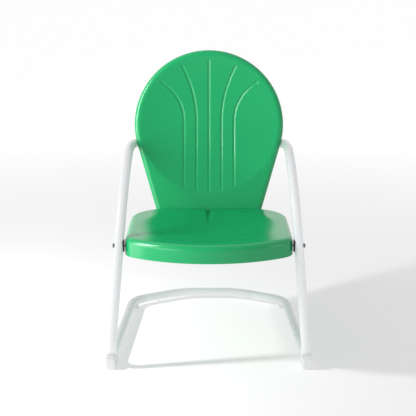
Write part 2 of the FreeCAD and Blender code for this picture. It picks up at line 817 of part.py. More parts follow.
def back_bracket():
    """A channel welded behind the dish, whose crown carries the arm's end."""
    point = arm_bolt_point()
    crown_rear = point.y - TUBE_RADIUS
    reach = BACK_EDGE_DEPTH / cosine(BACK_RECLINE) + ARM_BACK_GAP + ARM_REAR_BEND - TUBE_RADIUS
    low = point.z - BACK_BRACKET_HEIGHT / 2
    left = point.x - BACK_BRACKET_WIDTH / 2
    block = Part.makeBox(BACK_BRACKET_WIDTH, reach, BACK_BRACKET_HEIGHT, vec(left, crown_rear - reach, low))
    room = Part.makeBox(BACK_BRACKET_WIDTH - 2 * BACK_BRACKET_SHEET, reach, BACK_BRACKET_HEIGHT,
                        vec(left + BACK_BRACKET_SHEET, crown_rear - reach - BACK_BRACKET_SHEET, low))
    hole = rod(HOLE_RADIUS, point - Y_AXIS * reach, point)
    return block.cut([room, hole, place_back(back_dish(SHEET))])


def arm_back_washer():
    return saddle_washer(arm_bolt_point(), Y_AXIS)


def arm_back_bolt():
    seat = arm_bolt_point() + Y_AXIS * (TUBE_RADIUS + WASHER_THICKNESS)
    length = TUBE_DIAMETER + WASHER_THICKNESS + BACK_BRACKET_SHEET + NUT_HEIGHT + BOLT_TIP
    return bolt(seat, Y_AXIS * -1, length)


def arm_back_nut():
    seat = arm_bolt_point() - Y_AXIS * (TUBE_RADIUS + BACK_BRACKET_SHEET)
    return hex_nut(seat, Y_AXIS * -1, NUT_HEIGHT, BOLT_DIAMETER / 2)


def seat_back_bolts():
    bolts = []
    length = WASHER_THICKNESS + 2 * SHEET + NUT_HEIGHT + BOLT_TIP
    for point in back_bolt_points(-SHEET - WASHER_THICKNESS):
        bolts.append(bolt(point, back_front_axis(), length))
    return bolts


def seat_back_washers():
    washers = []
    for point in back_bolt_points(-SHEET):
        washers.append(ring(point, back_front_axis() * -1, WASHER_DIAMETER / 2, HOLE_RADIUS, WASHER_THICKNESS))
    return washers


def seat_back_nuts():
    return [hex_nut(point, back_front_axis(), NUT_HEIGHT, BOLT_DIAMETER / 2) for point in back_bolt_points(SHEET)]


def stretcher_screw():
    point = screw_point()
    under = vec(point.x, point.y, FLOOR_GAP)
    head = Part.makeCylinder(SCREW_HEAD_DIAMETER / 2, SCREW_HEAD_HEIGHT, under, Z_AXIS * -1)
    shank = Part.makeCylinder(SCREW_DIAMETER / 2, TUBE_RADIUS, under)
    return head.fuse(shank).removeSplitter()


# The whole chair


def both_sides(name, shape):
    return {"left_" + name: mirrored(shape), "right_" + name: shape}


def pair(shape):
    return Part.makeCompound([mirrored(shape), shape])


def chair():
    nodes = {"seat_pan": seat_pan(), "back_shell": back_shell(), "rear_stretcher": rear_stretcher()}
    nodes.update(both_sides("side_frame", side_frame()))
    nodes.update(both_sides("front_shoe", front_shoe()))
    nodes.update(both_sides("rear_glide", rear_glide()))
    nodes.update(both_sides("arm_plug", arm_plug()))
    nodes.update(both_sides("back_bracket", back_bracket()))
    nodes.update(both_sides("seat_bracket", seat_bracket()))
    nodes.update(both_sides("seat_spacer", seat_spacer()))
    nodes["seat_leg_bolts"] = pair(seat_leg_bolt())
    nodes["seat_leg_washers"] = pair(seat_leg_washer())
    nodes["seat_leg_nuts"] = pair(seat_leg_nut())
    nodes["seat_back_bolts"] = Part.makeCompound(seat_back_bolts())
    nodes["seat_back_washers"] = Part.makeCompound(seat_back_washers())
    nodes["seat_back_nuts"] = Part.makeCompound(seat_back_nuts())
    nodes["arm_back_bolts"] = pair(arm_back_bolt())
    nodes["arm_back_washers"] = pair(arm_back_washer())
    nodes["arm_back_nuts"] = pair(arm_back_nut())
    nodes["stretcher_screws"] = pair(stretcher_screw())
    return nodes


def main():
    nodes = chair()
    front = nodes["seat_pan"].optimalBoundingBox(False, False).YMin
    rear = nodes["rear_stretcher"].optimalBoundingBox(False, False).YMax
    to_middle = Y_AXIS * (-(front + rear) / 2)
    os.makedirs("parts", exist_ok=True)
    for name, shape in nodes.items():
        shape.translated(to_middle).exportStep("parts/" + name + ".step")
        print(name, len(shape.Solids), "solids", round(shape.Volume), "mm3", shape.isValid())


main()
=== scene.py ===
import json
import logging
import math
from collections.abc import Callable, Iterator
from contextlib import contextmanager
from dataclasses import dataclass
from enum import Enum
from functools import cached_property

import bmesh
import bpy
from mathutils import Matrix, Vector

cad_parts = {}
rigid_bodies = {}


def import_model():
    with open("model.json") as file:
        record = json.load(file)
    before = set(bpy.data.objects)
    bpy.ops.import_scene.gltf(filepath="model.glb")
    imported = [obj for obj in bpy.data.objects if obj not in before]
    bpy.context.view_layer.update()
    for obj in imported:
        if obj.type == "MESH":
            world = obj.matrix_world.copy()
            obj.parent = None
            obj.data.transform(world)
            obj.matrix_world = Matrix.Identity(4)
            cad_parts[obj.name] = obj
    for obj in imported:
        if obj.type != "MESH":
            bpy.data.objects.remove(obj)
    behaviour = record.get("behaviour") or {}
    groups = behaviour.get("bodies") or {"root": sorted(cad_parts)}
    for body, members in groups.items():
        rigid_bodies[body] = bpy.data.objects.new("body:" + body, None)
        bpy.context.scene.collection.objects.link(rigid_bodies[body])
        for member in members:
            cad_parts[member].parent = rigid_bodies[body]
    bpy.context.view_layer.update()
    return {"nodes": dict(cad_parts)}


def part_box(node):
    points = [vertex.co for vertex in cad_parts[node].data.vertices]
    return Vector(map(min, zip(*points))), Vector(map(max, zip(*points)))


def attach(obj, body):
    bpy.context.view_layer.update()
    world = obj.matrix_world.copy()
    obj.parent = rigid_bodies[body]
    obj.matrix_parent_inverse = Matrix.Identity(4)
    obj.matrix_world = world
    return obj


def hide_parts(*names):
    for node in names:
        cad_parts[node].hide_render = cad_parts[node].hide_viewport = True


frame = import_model()

LOG = logging.getLogger("patio_chair")
Colour = tuple[float, float, float]
QUARTER = math.pi / 2
TINY = 1e-6
TOP_MARGIN = 1e-4
LEVEL = 0.9
MOULDED_ANGLE = 28.0
ROUND_SIDES = 48
CUTTER_SIDES = 96
EDGE_STEPS = 5
UP = Vector((0, 0, 1))
ACROSS = Vector((1, 0, 0))
FLIP = Matrix.Diagonal((-1, 1, 1))


class Kind(Enum):
    """What an edit-mode selection picks."""

    VERT = "verts"
    EDGE = "edges"
    FACE = "faces"


class Slot(Enum):
    """The material slots of the record."""

    GREEN = "green_paint"
    WHITE = "white_paint"
    WHITE_PLASTIC = "white_plastic"
    BLACK_PLASTIC = "black_plastic"
    DARK_STEEL = "dark_steel"
    ZINC = "zinc_steel"


class Reach(Enum):
    """Whether a lamp shines on some things alone or on all but those."""

    ONLY = "INCLUDE"
    ALL_BUT = "EXCLUDE"


def deselect() -> None:
    """Deselects every object, so that an operator acts on one piece alone."""
    bpy.ops.object.select_all(action="DESELECT")


def take(piece: bpy.types.Object) -> None:
    """Makes one object the selected and active one.

    Args:
        piece: The object to work on.
    """
    deselect()
    piece.select_set(True)
    bpy.context.view_layer.objects.active = piece


@contextmanager
def editing(piece: bpy.types.Object) -> Iterator[None]:
    """Holds one object in edit mode.

    Args:
        piece: The object to edit.
    """
    take(piece)
    bpy.ops.object.mode_set(mode="EDIT")
    yield
    bpy.ops.object.mode_set(mode="OBJECT")


def pick(piece: bpy.types.Object, kind: Kind, test: Callable[..., bool]) -> None:
    """Selects, in edit mode, the elements of one kind that pass a test.

    Args:
        piece: The object in edit mode.
        kind: Points, edges or faces.
        test: Says whether an element is picked.
    """
    bpy.ops.mesh.select_mode(type=kind.name)
    bpy.ops.mesh.select_all(action="DESELECT")
    mesh = bmesh.from_edit_mesh(piece.data)
    for element in getattr(mesh, kind.value):
        if test(element):
            element.select_set(True)
    mesh.select_flush_mode()
    bmesh.update_edit_mesh(piece.data)


def modify(piece: bpy.types.Object, kind: str, **settings: object) -> None:
    """Adds a modifier to a piece, sets it and applies it.

    Args:
        piece: The object to change.
        kind: The modifier's type.
        settings: The modifier's values by name.
    """
    take(piece)
    modifier = piece.modifiers.new(kind.title(), kind)
    for name, value in settings.items():
        setattr(modifier, name, value)
    bpy.ops.object.modifier_apply(modifier=modifier.name)


def place(piece: bpy.types.Object, matrix: Matrix) -> None:
    """Moves a piece to its place and keeps that place in its mesh.

    Args:
        piece: The object to move.
        matrix: From the piece's own frame to the chair's frame.
    """
    piece.matrix_world = matrix
    take(piece)
    bpy.ops.object.transform_apply(location=True, rotation=True, scale=True)


def round_edges(piece: bpy.types.Object, width: float, degrees: float) -> None:
    """Bevels the edges of a piece that turn by more than some degrees."""
    modify(piece, "BEVEL", width=width, segments=3, limit_method="ANGLE", angle_limit=math.radians(degrees))


def face_out(piece: bpy.types.Object) -> None:
    """Merges doubles of a closed mesh and turns its faces outwards.

    Args:
        piece: The object with a closed mesh.
    """
    with editing(piece):
        bpy.ops.mesh.select_all(action="SELECT")
        bpy.ops.mesh.remove_doubles(threshold=TINY)
        bpy.ops.mesh.normals_make_consistent(inside=False)
        if bmesh.from_edit_mesh(piece.data).calc_volume(signed=True) < 0:
            bpy.ops.mesh.flip_normals()


def smooth(piece: bpy.types.Object, degrees: float = 32.0) -> None:
    """Shades a piece smooth but for edges that turn by more than some degrees."""
    take(piece)
    bpy.ops.object.shade_smooth_by_angle(angle=math.radians(degrees))


def copied(piece: bpy.types.Object, name: str) -> bpy.types.Object:
    """A copy of a piece with its own mesh.

    Args:
        piece: The object to copy.
        name: The copy's name.

    Returns:
        The new object.
    """
    twin = piece.copy()
    twin.data = piece.data.copy()
    twin.name = name
    twin.data.name = name
    bpy.context.collection.objects.link(twin)
    return twin


def mirrored(piece: bpy.types.Object, name: str) -> bpy.types.Object:
    """A copy of a piece for the chair's other side.

    Args:
        piece: The object to mirror across the chair's middle plane.
        name: The copy's name.

    Returns:
        The new object.
    """
    twin = copied(piece, name)
    place(twin, FLIP.to_4x4())
    face_out(twin)
    return twin


def frame_matrix(origin: Vector, across: Vector, up: Vector) -> Matrix:
    """The matrix of a frame whose X and Y run along two square directions.

    Args:
        origin: Where the frame's origin lies.
        across: The direction of the frame's X.
        up: The direction of the frame's Y.

    Returns:
        The matrix from that frame to the chair's frame.
    """
    x_axis = across.normalized()
    y_axis = up.normalized()
    turn = Matrix((x_axis, y_axis, x_axis.cross(y_axis))).transposed()
    return Matrix.Translation(origin) @ turn.to_4x4()


class Pen:
    """Draws an outline in its XY plane: one point that is extruded along lines and spun round arcs."""

    def __init__(self, name: str, start: Vector) -> None:
        """Starts the outline.

        Args:
            name: The new object's name.
            start: The outline's first point.
        """
        deselect()
        bpy.ops.mesh.primitive_plane_add(size=1.0)
        self.piece: bpy.types.Object = bpy.context.object
        self.piece.name = name
        self.piece.data.name = name
        self.tip = start.copy()
        bpy.ops.object.mode_set(mode="EDIT")
        bpy.ops.mesh.select_mode(type="VERT")
        bpy.ops.mesh.select_all(action="SELECT")
        bpy.ops.mesh.merge(type="CENTER")
        bpy.ops.transform.translate(value=start)

    def line(self, end: Vector, cuts: int = 1) -> None:
        """Draws a straight stretch.

        Args:
            end: Where it ends.
            cuts: How many edges it gets.
        """
        step = (end - self.tip) / cuts
        for _ in range(cuts):
            bpy.ops.mesh.extrude_vertices_move(TRANSFORM_OT_translate={"value": step})
        self.tip = end.copy()

    def arc(self, centre: Vector, end: Vector, steps: int) -> None:
        """Draws an arc of less than half a turn.

        Args:
            centre: The arc's centre.
            end: Where it ends.
            steps: How many edges it gets.
        """
        first = self.tip - centre
        last = end - centre
        angle = math.atan2(first.cross(last).z, first.dot(last))
        bpy.ops.mesh.spin(steps=steps, angle=-angle, center=centre, axis=(0, 0, 1))
        self.tip = end.copy()

    def closed(self) -> bpy.types.Object:
        """Closes the outline and fills it with one face.

        Returns:
            The drawn object, in object mode.
        """
        bpy.ops.mesh.select_all(action="SELECT")
        bpy.ops.mesh.remove_doubles(threshold=1e-5)
        bpy.ops.mesh.edge_face_add()
        bpy.ops.mesh.normals_make_consistent(inside=False)
        bpy.ops.object.mode_set(mode="OBJECT")
        if self.piece.data.polygons[0].normal.z < 0:
            self.piece.data.flip_normals()
        return self.piece

    def turned(self, steps: int) -> bpy.types.Object:
        """Spins the open outline about its Y axis into a round solid.

        Args:
            steps: How many steps the full turn gets.

        Returns:
            The turned object, in object mode.
        """
        bpy.ops.mesh.select_all(action="SELECT")
        bpy.ops.mesh.spin(steps=steps, angle=2 * math.pi, center=(0, 0, 0), axis=(0, 1, 0))
        bpy.ops.object.mode_set(mode="OBJECT")
        face_out(self.piece)
        return self.piece


@dataclass(frozen=True)
class ChairPlan:
    """Where the chair's pieces stand: sizes in metres and angles in degrees, in the chair's frame."""

    tube_radius: float = 0.01325
    tube_wall: float = 0.0015
    floor_gap: float = 0.010
    foot_half_width: float = 0.2744
    arm_front_half_width: float = 0.2298
    runner_rear_half_width: float = 0.246
    arm_end_half_width: float = 0.104
    arm_front_height: float = 0.593
    arm_rear_height: float = 0.533
    leg_lean: float = 0.088
    foot_bend: float = 0.048
    arm_front_bend: float = 0.268
    arm_rear_bend: float = 0.042
    rear_bend: float = 0.080
    arm_side_gap: float = 0.002
    arm_back_gap: float = 0.006
    base_length: float = 0.616
    stretcher_half_middle: float = 0.086
    stretcher_bend: float = 0.190
    stretcher_sweep: float = 29.5
    stretcher_straight: float = 0.015
    shoulder: float = 0.004
    seat_front_height: float = 0.370
    seat_overhang: float = 0.050
    seat_depth: float = 0.495
    seat_slope: float = 1.9
    seat_bolt_drop: float = 0.023
    spacer: float = 0.0015
    landing_drop: float = 0.010
    back_recline: float = 14.0
    back_radius: float = 0.2306
    back_rise: float = 0.267
    back_side_taper: float = 16.3
    back_edge_depth: float = 0.019

    @cached_property
    def base(self) -> Vector:
        """The floor point in the middle between the foot corners, which places the plan in the CAD frame."""
        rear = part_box("rear_stretcher")[1][1]
        return Vector((0, rear - self.base_length - self.tube_radius, 0))

    @property
    def runner_height(self) -> float:
        """Height of the runners' centreline."""
        return self.floor_gap + self.tube_radius

    @cached_property
    def seat_frame(self) -> Matrix:
        """From the seat's own frame (across, depth, height) to the chair's frame."""
        slope = math.radians(self.seat_slope)
        origin = self.base + Vector((0, -self.seat_overhang, self.seat_front_height))
        return frame_matrix(origin, ACROSS, Vector((0, math.cos(slope), -math.sin(slope))))

    @cached_property
    def back_frame(self) -> Matrix:
        """From the back's own frame (across, up, front) to the chair's frame."""
        lean = math.radians(self.back_recline)
        origin = self.seat_frame @ Vector((0, self.seat_depth, -self.landing_drop))
        return frame_matrix(origin, ACROSS, Vector((0, math.sin(lean), math.cos(lean))))

    def back_half_width(self, up: float) -> float:
        """Half the back's width.

        Args:
            up: Height in the back's own plane.

        Returns:
            The half-width at that height.
        """
        taper = math.radians(self.back_side_taper)
        below = self.back_rise - up
        if below < self.back_radius * math.sin(taper):
            return math.sqrt(self.back_radius ** 2 - below ** 2)
        return (self.back_radius - below * math.sin(taper)) / math.cos(taper)

    @cached_property
    def stretcher_corner(self) -> Vector:
        """Where the line of the stretcher's middle meets the line of its right end."""
        return self.base + Vector((self.stretcher_half_middle, self.base_length, self.runner_height))

    def stretcher_end(self, extra: float) -> Vector:
        """A point in line with the stretcher's swept end.

        Args:
            extra: Distance out from the end of the plain tube.

        Returns:
            The point of the centreline on the right side.
        """
        angle = math.radians(self.stretcher_sweep)
        reach = self.stretcher_bend * math.tan(angle / 2) + self.stretcher_straight + extra
        return self.stretcher_corner + Vector((math.cos(angle), -math.sin(angle), 0)) * reach

    @cached_property
    def foot_corner(self) -> Vector:
        """Where the runner's line meets the leg's."""
        return self.base + Vector((self.foot_half_width, 0, self.runner_height))

    @cached_property
    def arm_front_corner(self) -> Vector:
        """Where the leg's line meets the arm's."""
        return self.base + Vector((self.arm_front_half_width, self.leg_lean, self.arm_front_height))

    @cached_property
    def arm_rear_corner(self) -> Vector:
        """Where the arm's line turns in behind the back."""
        lean = math.radians(self.back_recline)
        origin = self.back_frame.translation
        up = (self.arm_rear_height - origin.z) / math.cos(lean)
        edge_rear = origin.y + up * math.sin(lean) + self.back_edge_depth / math.cos(lean)
        half_width = self.back_half_width(up + self.tube_radius) + self.tube_radius + self.arm_side_gap
        return Vector((half_width, edge_rear + self.arm_back_gap + self.arm_rear_bend, self.arm_rear_height))

    @cached_property
    def arm_end(self) -> Vector:
        """The centre of the arm's hidden end."""
        corner = self.arm_rear_corner
        return Vector((self.arm_end_half_width, corner.y, corner.z))

    @cached_property
    def runner_rear_corner(self) -> Vector:
        """Where the runner's line meets the stretcher's end."""
        seam = self.stretcher_end(self.shoulder)
        drop = (self.runner_rear_half_width - seam.x) * math.tan(math.radians(self.stretcher_sweep))
        return Vector((self.runner_rear_half_width, seam.y - drop, seam.z))

    @cached_property
    def side_corners(self) -> list[Vector]:
        """Corners of the right side frame's centreline, from the stretcher to the arm's end."""
        return [self.stretcher_end(self.shoulder), self.runner_rear_corner, self.foot_corner,
                self.arm_front_corner, self.arm_rear_corner, self.arm_end]

    @property
    def side_bends(self) -> list[float]:
        """Bend radii at the inner corners of the side frame."""
        return [self.rear_bend, self.foot_bend, self.arm_front_bend, self.arm_rear_bend]

    @cached_property
    def leg_at_seat(self) -> Vector:
        """The point of the right leg's centreline level with the seat bolt."""
        rise = self.arm_front_corner - self.foot_corner
        normal = self.seat_frame.col[2].to_3d()
        plane = self.seat_frame @ Vector((0, 0, -self.seat_bolt_drop))
        share = (plane - self.foot_corner).dot(normal) / rise.dot(normal)
        return self.foot_corner + rise * share

    @cached_property
    def shoe_point(self) -> Vector:
        """The point of the runner's centreline where the foot bend ends."""
        return Bend.between(self.side_corners[1:4], self.foot_bend).start

    @cached_property
    def glide_point(self) -> Vector:
        """The point of the runner's centreline in the middle of the rear bend."""
        bend = Bend.between(self.side_corners[0:3], self.rear_bend)
        outward = (bend.start + bend.end) / 2 - bend.centre
        return bend.centre + outward.normalized() * self.rear_bend


@dataclass(frozen=True)
class Bend:
    """An arc that rounds one corner of a tube's centreline."""

    start: Vector
    centre: Vector
    end: Vector

    @classmethod
    def between(cls, corners: list[Vector], radius: float) -> "Bend":
        """The bend at the middle one of three corners.

        Args:
            corners: The corner before, the corner and the corner after.
            radius: The bend's radius.

        Returns:
            The bend.
        """
        back = (corners[0] - corners[1]).normalized()
        ahead = (corners[2] - corners[1]).normalized()
        half_turn = (math.pi - back.angle(ahead)) / 2
        run = radius * math.tan(half_turn)
        centre = corners[1] + (back + ahead).normalized() * (radius / math.cos(half_turn))
        return cls(corners[1] + back * run, centre, corners[1] + ahead * run)


class TubeRun:
    """Draws a round tube in edit mode: one circle that is extruded along straights and spun round bends."""

    least_steps = 6
    step_degrees = 3.0

    def __init__(self, name: str, start: Vector, along: Vector, radius: float, lip: float,
                 sides: int = ROUND_SIDES) -> None:
        """Starts the tube with a small rounded lip.

        Args:
            name: The new object's name.
            start: Centre of the tube's first end.
            along: The direction in which the tube sets off.
            radius: The tube's outer radius.
            lip: How much the tube's ends are broken.
            sides: How many sides the circle has.
        """
        turn = UP.rotation_difference(along)
        deselect()
        bpy.ops.mesh.primitive_circle_add(vertices=sides, radius=radius - lip, location=start,
                                          rotation=turn.to_euler())
        self.piece: bpy.types.Object = bpy.context.object
        self.piece.name = name
        self.piece.data.name = name
        bpy.ops.object.transform_apply(location=True, rotation=True, scale=True)
        self.tip = start.copy()
        self.along = along.normalized()
        self.radius = radius
        self.lip = lip
        bpy.ops.object.mode_set(mode="EDIT")
        bpy.ops.mesh.select_mode(type="EDGE")
        bpy.ops.mesh.select_all(action="SELECT")
        self.step(self.tip + self.along * lip, radius / (radius - lip))

    def step(self, end: Vector, growth: float = 1.0) -> None:
        """Extrudes the open end straight on.

        Args:
            end: Where the centreline goes.
            growth: How much wider the new end is.
        """
        bpy.ops.mesh.extrude_region_move(TRANSFORM_OT_translate={"value": end - self.tip})
        if growth != 1.0:
            bpy.ops.transform.resize(value=(growth, growth, growth), center_override=end)
        self.along = (end - self.tip).normalized()
        self.tip = end.copy()

    def collar(self, growth: float) -> None:
        """Steps the open end's width in place, by how much wider the tube goes on."""
        bpy.ops.mesh.extrude_region_move(TRANSFORM_OT_translate={"value": (0, 0, 0)})
        bpy.ops.transform.resize(value=(growth, growth, growth), center_override=self.tip)

    def round(self, bend: Bend, steps: int) -> None:
        """Spins the open end round a bend.

        Args:
            bend: The bend, which starts at the tip.
            steps: How many steps the bend gets.
        """
        first = self.tip - bend.centre
        last = bend.end - bend.centre
        axis = first.cross(last).normalized()
        bpy.ops.mesh.spin(steps=steps, angle=-first.angle(last), center=bend.centre, axis=axis)
        self.along = axis.cross(last).normalized()
        self.tip = bend.end.copy()

    def follow(self, corners: list[Vector], radii: list[float]) -> None:
        """Runs along straight stretches with a bend at each inner corner.

        Args:
            corners: The centreline's corners, the first at the tube's start.
            radii: The bend radius at each inner corner.
        """
        for index, radius in enumerate(radii):
            bend = Bend.between(corners[index:index + 3], radius)
            self.step(bend.start)
            turn = (bend.start - bend.centre).angle(bend.end - bend.centre)
            self.round(bend, max(self.least_steps, round(math.degrees(turn) / self.step_degrees)))

    def end_at(self, end: Vector) -> None:
        """Runs to the tube's end and breaks its edge.

        Args:
            end: Centre of the tube's last end.
        """
        along = (end - self.tip).normalized()
        self.step(end - along * self.lip)
        self.step(end, (self.radius - self.lip) / self.radius)

    def hollow(self, wall: float) -> bpy.types.Object:
        """Leaves edit mode and gives the tube its wall.

        Args:
            wall: The wall's thickness.

        Returns:
            The tube, as a closed mesh.
        """
        self._face_out()
        modify(self.piece, "SOLIDIFY", thickness=wall, offset=-1.0, use_rim=True)
        face_out(self.piece)
        smooth(self.piece)
        return self.piece

    def solid(self) -> bpy.types.Object:
        """Leaves edit mode and closes both ends.

        Returns:
            The bar, as a closed mesh.
        """
        bpy.ops.mesh.select_mode(type="EDGE")
        bpy.ops.mesh.select_all(action="DESELECT")
        bpy.ops.mesh.select_non_manifold()
        bpy.ops.mesh.edge_face_add()
        self._face_out()
        face_out(self.piece)
        return self.piece

    def _face_out(self) -> None:
        """Leaves edit mode with the tube's faces turned away from its centreline."""
        bpy.ops.mesh.select_all(action="SELECT")
        bpy.ops.mesh.normals_make_consistent(inside=False)
        mesh = bmesh.from_edit_mesh(self.piece.data)
        near = min((face for face in mesh.faces if len(face.verts) == 4),
                   key=lambda face: (face.calc_center_median() - self.tip).length)
        if near.normal.dot(near.calc_center_median() - self.tip) < 0:
            bpy.ops.mesh.flip_normals()
        bpy.ops.object.mode_set(mode="OBJECT")


class Wiring:
    """A hand for setting up and joining shader nodes."""

    def __init__(self, tree: bpy.types.NodeTree) -> None:
        """Takes the node tree to wire."""
        self.tree = tree

    def add(self, kind: str, settings: dict[str, object] | None = None, **inputs: object) -> bpy.types.Node:
        """Adds a node.

        Args:
            kind: The node's type.
            settings: The node's own properties.
            inputs: Values or output sockets for its inputs, with underscores for spaces.

        Returns:
            The new node.
        """
        node = self.tree.nodes.new(kind)
        for name, value in (settings or {}).items():
            setattr(node, name, value)
        for name, value in inputs.items():
            key = int(name[1:]) if name[0] == "i" and name[1:].isdigit() else name.replace("_", " ")
            if isinstance(value, bpy.types.NodeSocket):
                self.tree.links.new(value, node.inputs[key])
            else:
                node.inputs[key].default_value = value
        return node

    def math(self, operation: str, first: object, second: object = 0.0) -> bpy.types.NodeSocket:
        """The result of a math node on two values or sockets."""
        return self.add("ShaderNodeMath", {"operation": operation}, i0=first, i1=second).outputs[0]

    def blend(self, factor: object, first: object, second: object) -> bpy.types.NodeSocket:
        """The mix of two colours, where a factor says how much of the second shows."""
        node = self.add("ShaderNodeMix", {"data_type": "RGBA"}, i0=factor, i6=first, i7=second)
        return node.outputs[2]

    def spot(self) -> bpy.types.NodeSocket:
        """The place on the piece, in Object coordinates."""
        return self.add("ShaderNodeTexCoord").outputs["Object"]

    def feed(self, node: bpy.types.Node, **sockets: bpy.types.NodeSocket) -> None:
        """Links sockets to a node's inputs, which are named with underscores for spaces."""
        for name, socket in sockets.items():
            self.tree.links.new(socket, node.inputs[name.replace("_", " ")])


def new_shader(name: str) -> tuple[bpy.types.Material, Wiring, bpy.types.Node]:
    """Starts a material.

    Args:
        name: The material's name.

    Returns:
        The material, its wiring and its surface shader.
    """
    made = bpy.data.materials.new(name)
    made.use_nodes = True
    return made, Wiring(made.node_tree), made.node_tree.nodes["Principled BSDF"]


class Effects:
    """Shared surface effects as shader node groups."""

    fine_scale = 3.1
    fine_depth = 0.25
    smear_depth = 0.07

    def __init__(self) -> None:
        """Builds each group once."""
        self.peel = self._orange_peel()
        self.film = self._film()
        self.grain = self._grain()

    def _group(self, name: str, inputs: dict[str, str], outputs: dict[str, str]) -> bpy.types.NodeTree:
        """Starts a node group.

        Args:
            name: The group's name.
            inputs: Socket types by input name.
            outputs: Socket types by output name.

        Returns:
            The group with its two end nodes.
        """
        tree = bpy.data.node_groups.new(name, "ShaderNodeTree")
        for socket, kind in inputs.items():
            tree.interface.new_socket(name=socket, in_out="INPUT", socket_type=kind)
        for socket, kind in outputs.items():
            tree.interface.new_socket(name=socket, in_out="OUTPUT", socket_type=kind)
        tree.nodes.new("NodeGroupInput")
        tree.nodes.new("NodeGroupOutput")
        return tree

    def _orange_peel(self) -> bpy.types.NodeTree:
        """Small soft dimples of sprayed paint.

        Returns:
            The group, which gives a height.
        """
        tree = self._group("orange_peel", {"Scale": "NodeSocketFloat"}, {"Height": "NodeSocketFloat"})
        wiring = Wiring(tree)
        given = tree.nodes["Group Input"].outputs
        spot = wiring.spot()
        coarse = wiring.add("ShaderNodeTexNoise", Vector=spot, Scale=given["Scale"],
                            Detail=1.0, Roughness=0.4)
        finer = wiring.math("MULTIPLY", given["Scale"], self.fine_scale)
        fine = wiring.add("ShaderNodeTexNoise", Vector=spot, Scale=finer, Detail=0.0, Roughness=0.5)
        faint = wiring.math("MULTIPLY", fine.outputs[0], self.fine_depth)
        height = wiring.math("ADD", coarse.outputs[0], faint)
        wiring.feed(tree.nodes["Group Output"], Height=height)
        return tree

    def _film(self) -> bpy.types.NodeTree:
        """Uneven colour and sheen of a paint film.

        Returns:
            The group, which gives a colour and a roughness.
        """
        tree = self._group("paint_film", {"Colour": "NodeSocketColor", "Roughness": "NodeSocketFloat",
                                          "Spread": "NodeSocketFloat"},
                           {"Colour": "NodeSocketColor", "Roughness": "NodeSocketFloat"})
        wiring = Wiring(tree)
        given = tree.nodes["Group Input"].outputs
        spot = wiring.spot()
        broad = wiring.add("ShaderNodeTexNoise", Vector=spot, Scale=5.0, Detail=2.0,
                           Roughness=0.5)
        smear = wiring.add("ShaderNodeTexNoise", Vector=spot, Scale=38.0, Detail=4.0,
                           Roughness=0.6, Distortion=0.8)
        swing = wiring.math("MULTIPLY", wiring.math("SUBTRACT", broad.outputs[0], 0.5), given["Spread"])
        value = wiring.math("ADD", swing, 1.0)
        shade = wiring.add("ShaderNodeHueSaturation", Color=given["Colour"], Value=value)
        offset = wiring.math("MULTIPLY", wiring.math("SUBTRACT", smear.outputs[0], 0.5), self.smear_depth)
        rough = wiring.math("ADD", given["Roughness"], offset)
        wiring.feed(tree.nodes["Group Output"], Colour=shade.outputs[0], Roughness=rough)
        return tree

    def _grain(self) -> bpy.types.NodeTree:
        """Fine cloudy grain of plated steel or moulded plastic.

        Returns:
            The group, which gives a share from 0 to 1 and a height.
        """
        tree = self._group("fine_grain", {"Scale": "NodeSocketFloat"},
                           {"Share": "NodeSocketFloat", "Height": "NodeSocketFloat"})
        wiring = Wiring(tree)
        given = tree.nodes["Group Input"].outputs
        spot = wiring.spot()
        cloud = wiring.add("ShaderNodeTexNoise", Vector=spot, Scale=given["Scale"],
                           Detail=5.0, Roughness=0.6)
        spots = wiring.add("ShaderNodeTexVoronoi", Vector=spot, Scale=given["Scale"])
        share = wiring.add("ShaderNodeMapRange", Value=cloud.outputs[0], From_Min=0.3, From_Max=0.7)
        wiring.feed(tree.nodes["Group Output"], Share=share.outputs[0], Height=spots.outputs["Distance"])
        return tree


@dataclass(frozen=True)
class SprayedPaint:
    """Glossy sprayed paint on steel."""

    name: str
    colour: Colour
    roughness: float
    gloss: float
    spread: float
    peel_scale: float
    peel_height: float
    peel_strength: float = 0.35

    def material(self, effects: Effects) -> bpy.types.Material:
        """Builds the paint.

        Args:
            effects: The shared effects.

        Returns:
            The material.
        """
        made, wiring, shader = new_shader(self.name)
        film = wiring.add("ShaderNodeGroup", {"node_tree": effects.film}, Colour=(*self.colour, 1.0),
                          Roughness=self.roughness, Spread=self.spread)
        peel = wiring.add("ShaderNodeGroup", {"node_tree": effects.peel}, Scale=self.peel_scale)
        bump = wiring.add("ShaderNodeBump", Strength=self.peel_strength, Distance=self.peel_height,
                          Height=peel.outputs[0])
        wiring.feed(shader, Base_Color=film.outputs["Colour"], Roughness=film.outputs["Roughness"],
                    Normal=bump.outputs[0])
        shader.inputs["Specular IOR Level"].default_value = self.gloss
        return made


@dataclass(frozen=True)
class MouldedPlastic:
    """Slightly grained moulded plastic."""

    name: str
    colour: Colour
    roughness: float
    grain_scale: float = 900.0
    grain_strength: float = 0.3
    grain_height: float = 0.0002
    shade: float = 0.9
    spread: float = 0.12

    def material(self, effects: Effects) -> bpy.types.Material:
        """Builds the plastic.

        Args:
            effects: The shared effects.

        Returns:
            The material.
        """
        made, wiring, shader = new_shader(self.name)
        grain = wiring.add("ShaderNodeGroup", {"node_tree": effects.grain}, Scale=self.grain_scale)
        darker = tuple(part * self.shade for part in self.colour)
        tint = wiring.blend(grain.outputs["Share"], (*self.colour, 1.0), (*darker, 1.0))
        swing = wiring.math("MULTIPLY", grain.outputs["Share"], self.spread)
        rough = wiring.math("ADD", swing, self.roughness)
        bump = wiring.add("ShaderNodeBump", Strength=self.grain_strength, Distance=self.grain_height,
                          Height=grain.outputs["Height"])
        wiring.feed(shader, Base_Color=tint, Roughness=rough, Normal=bump.outputs[0])
        return made


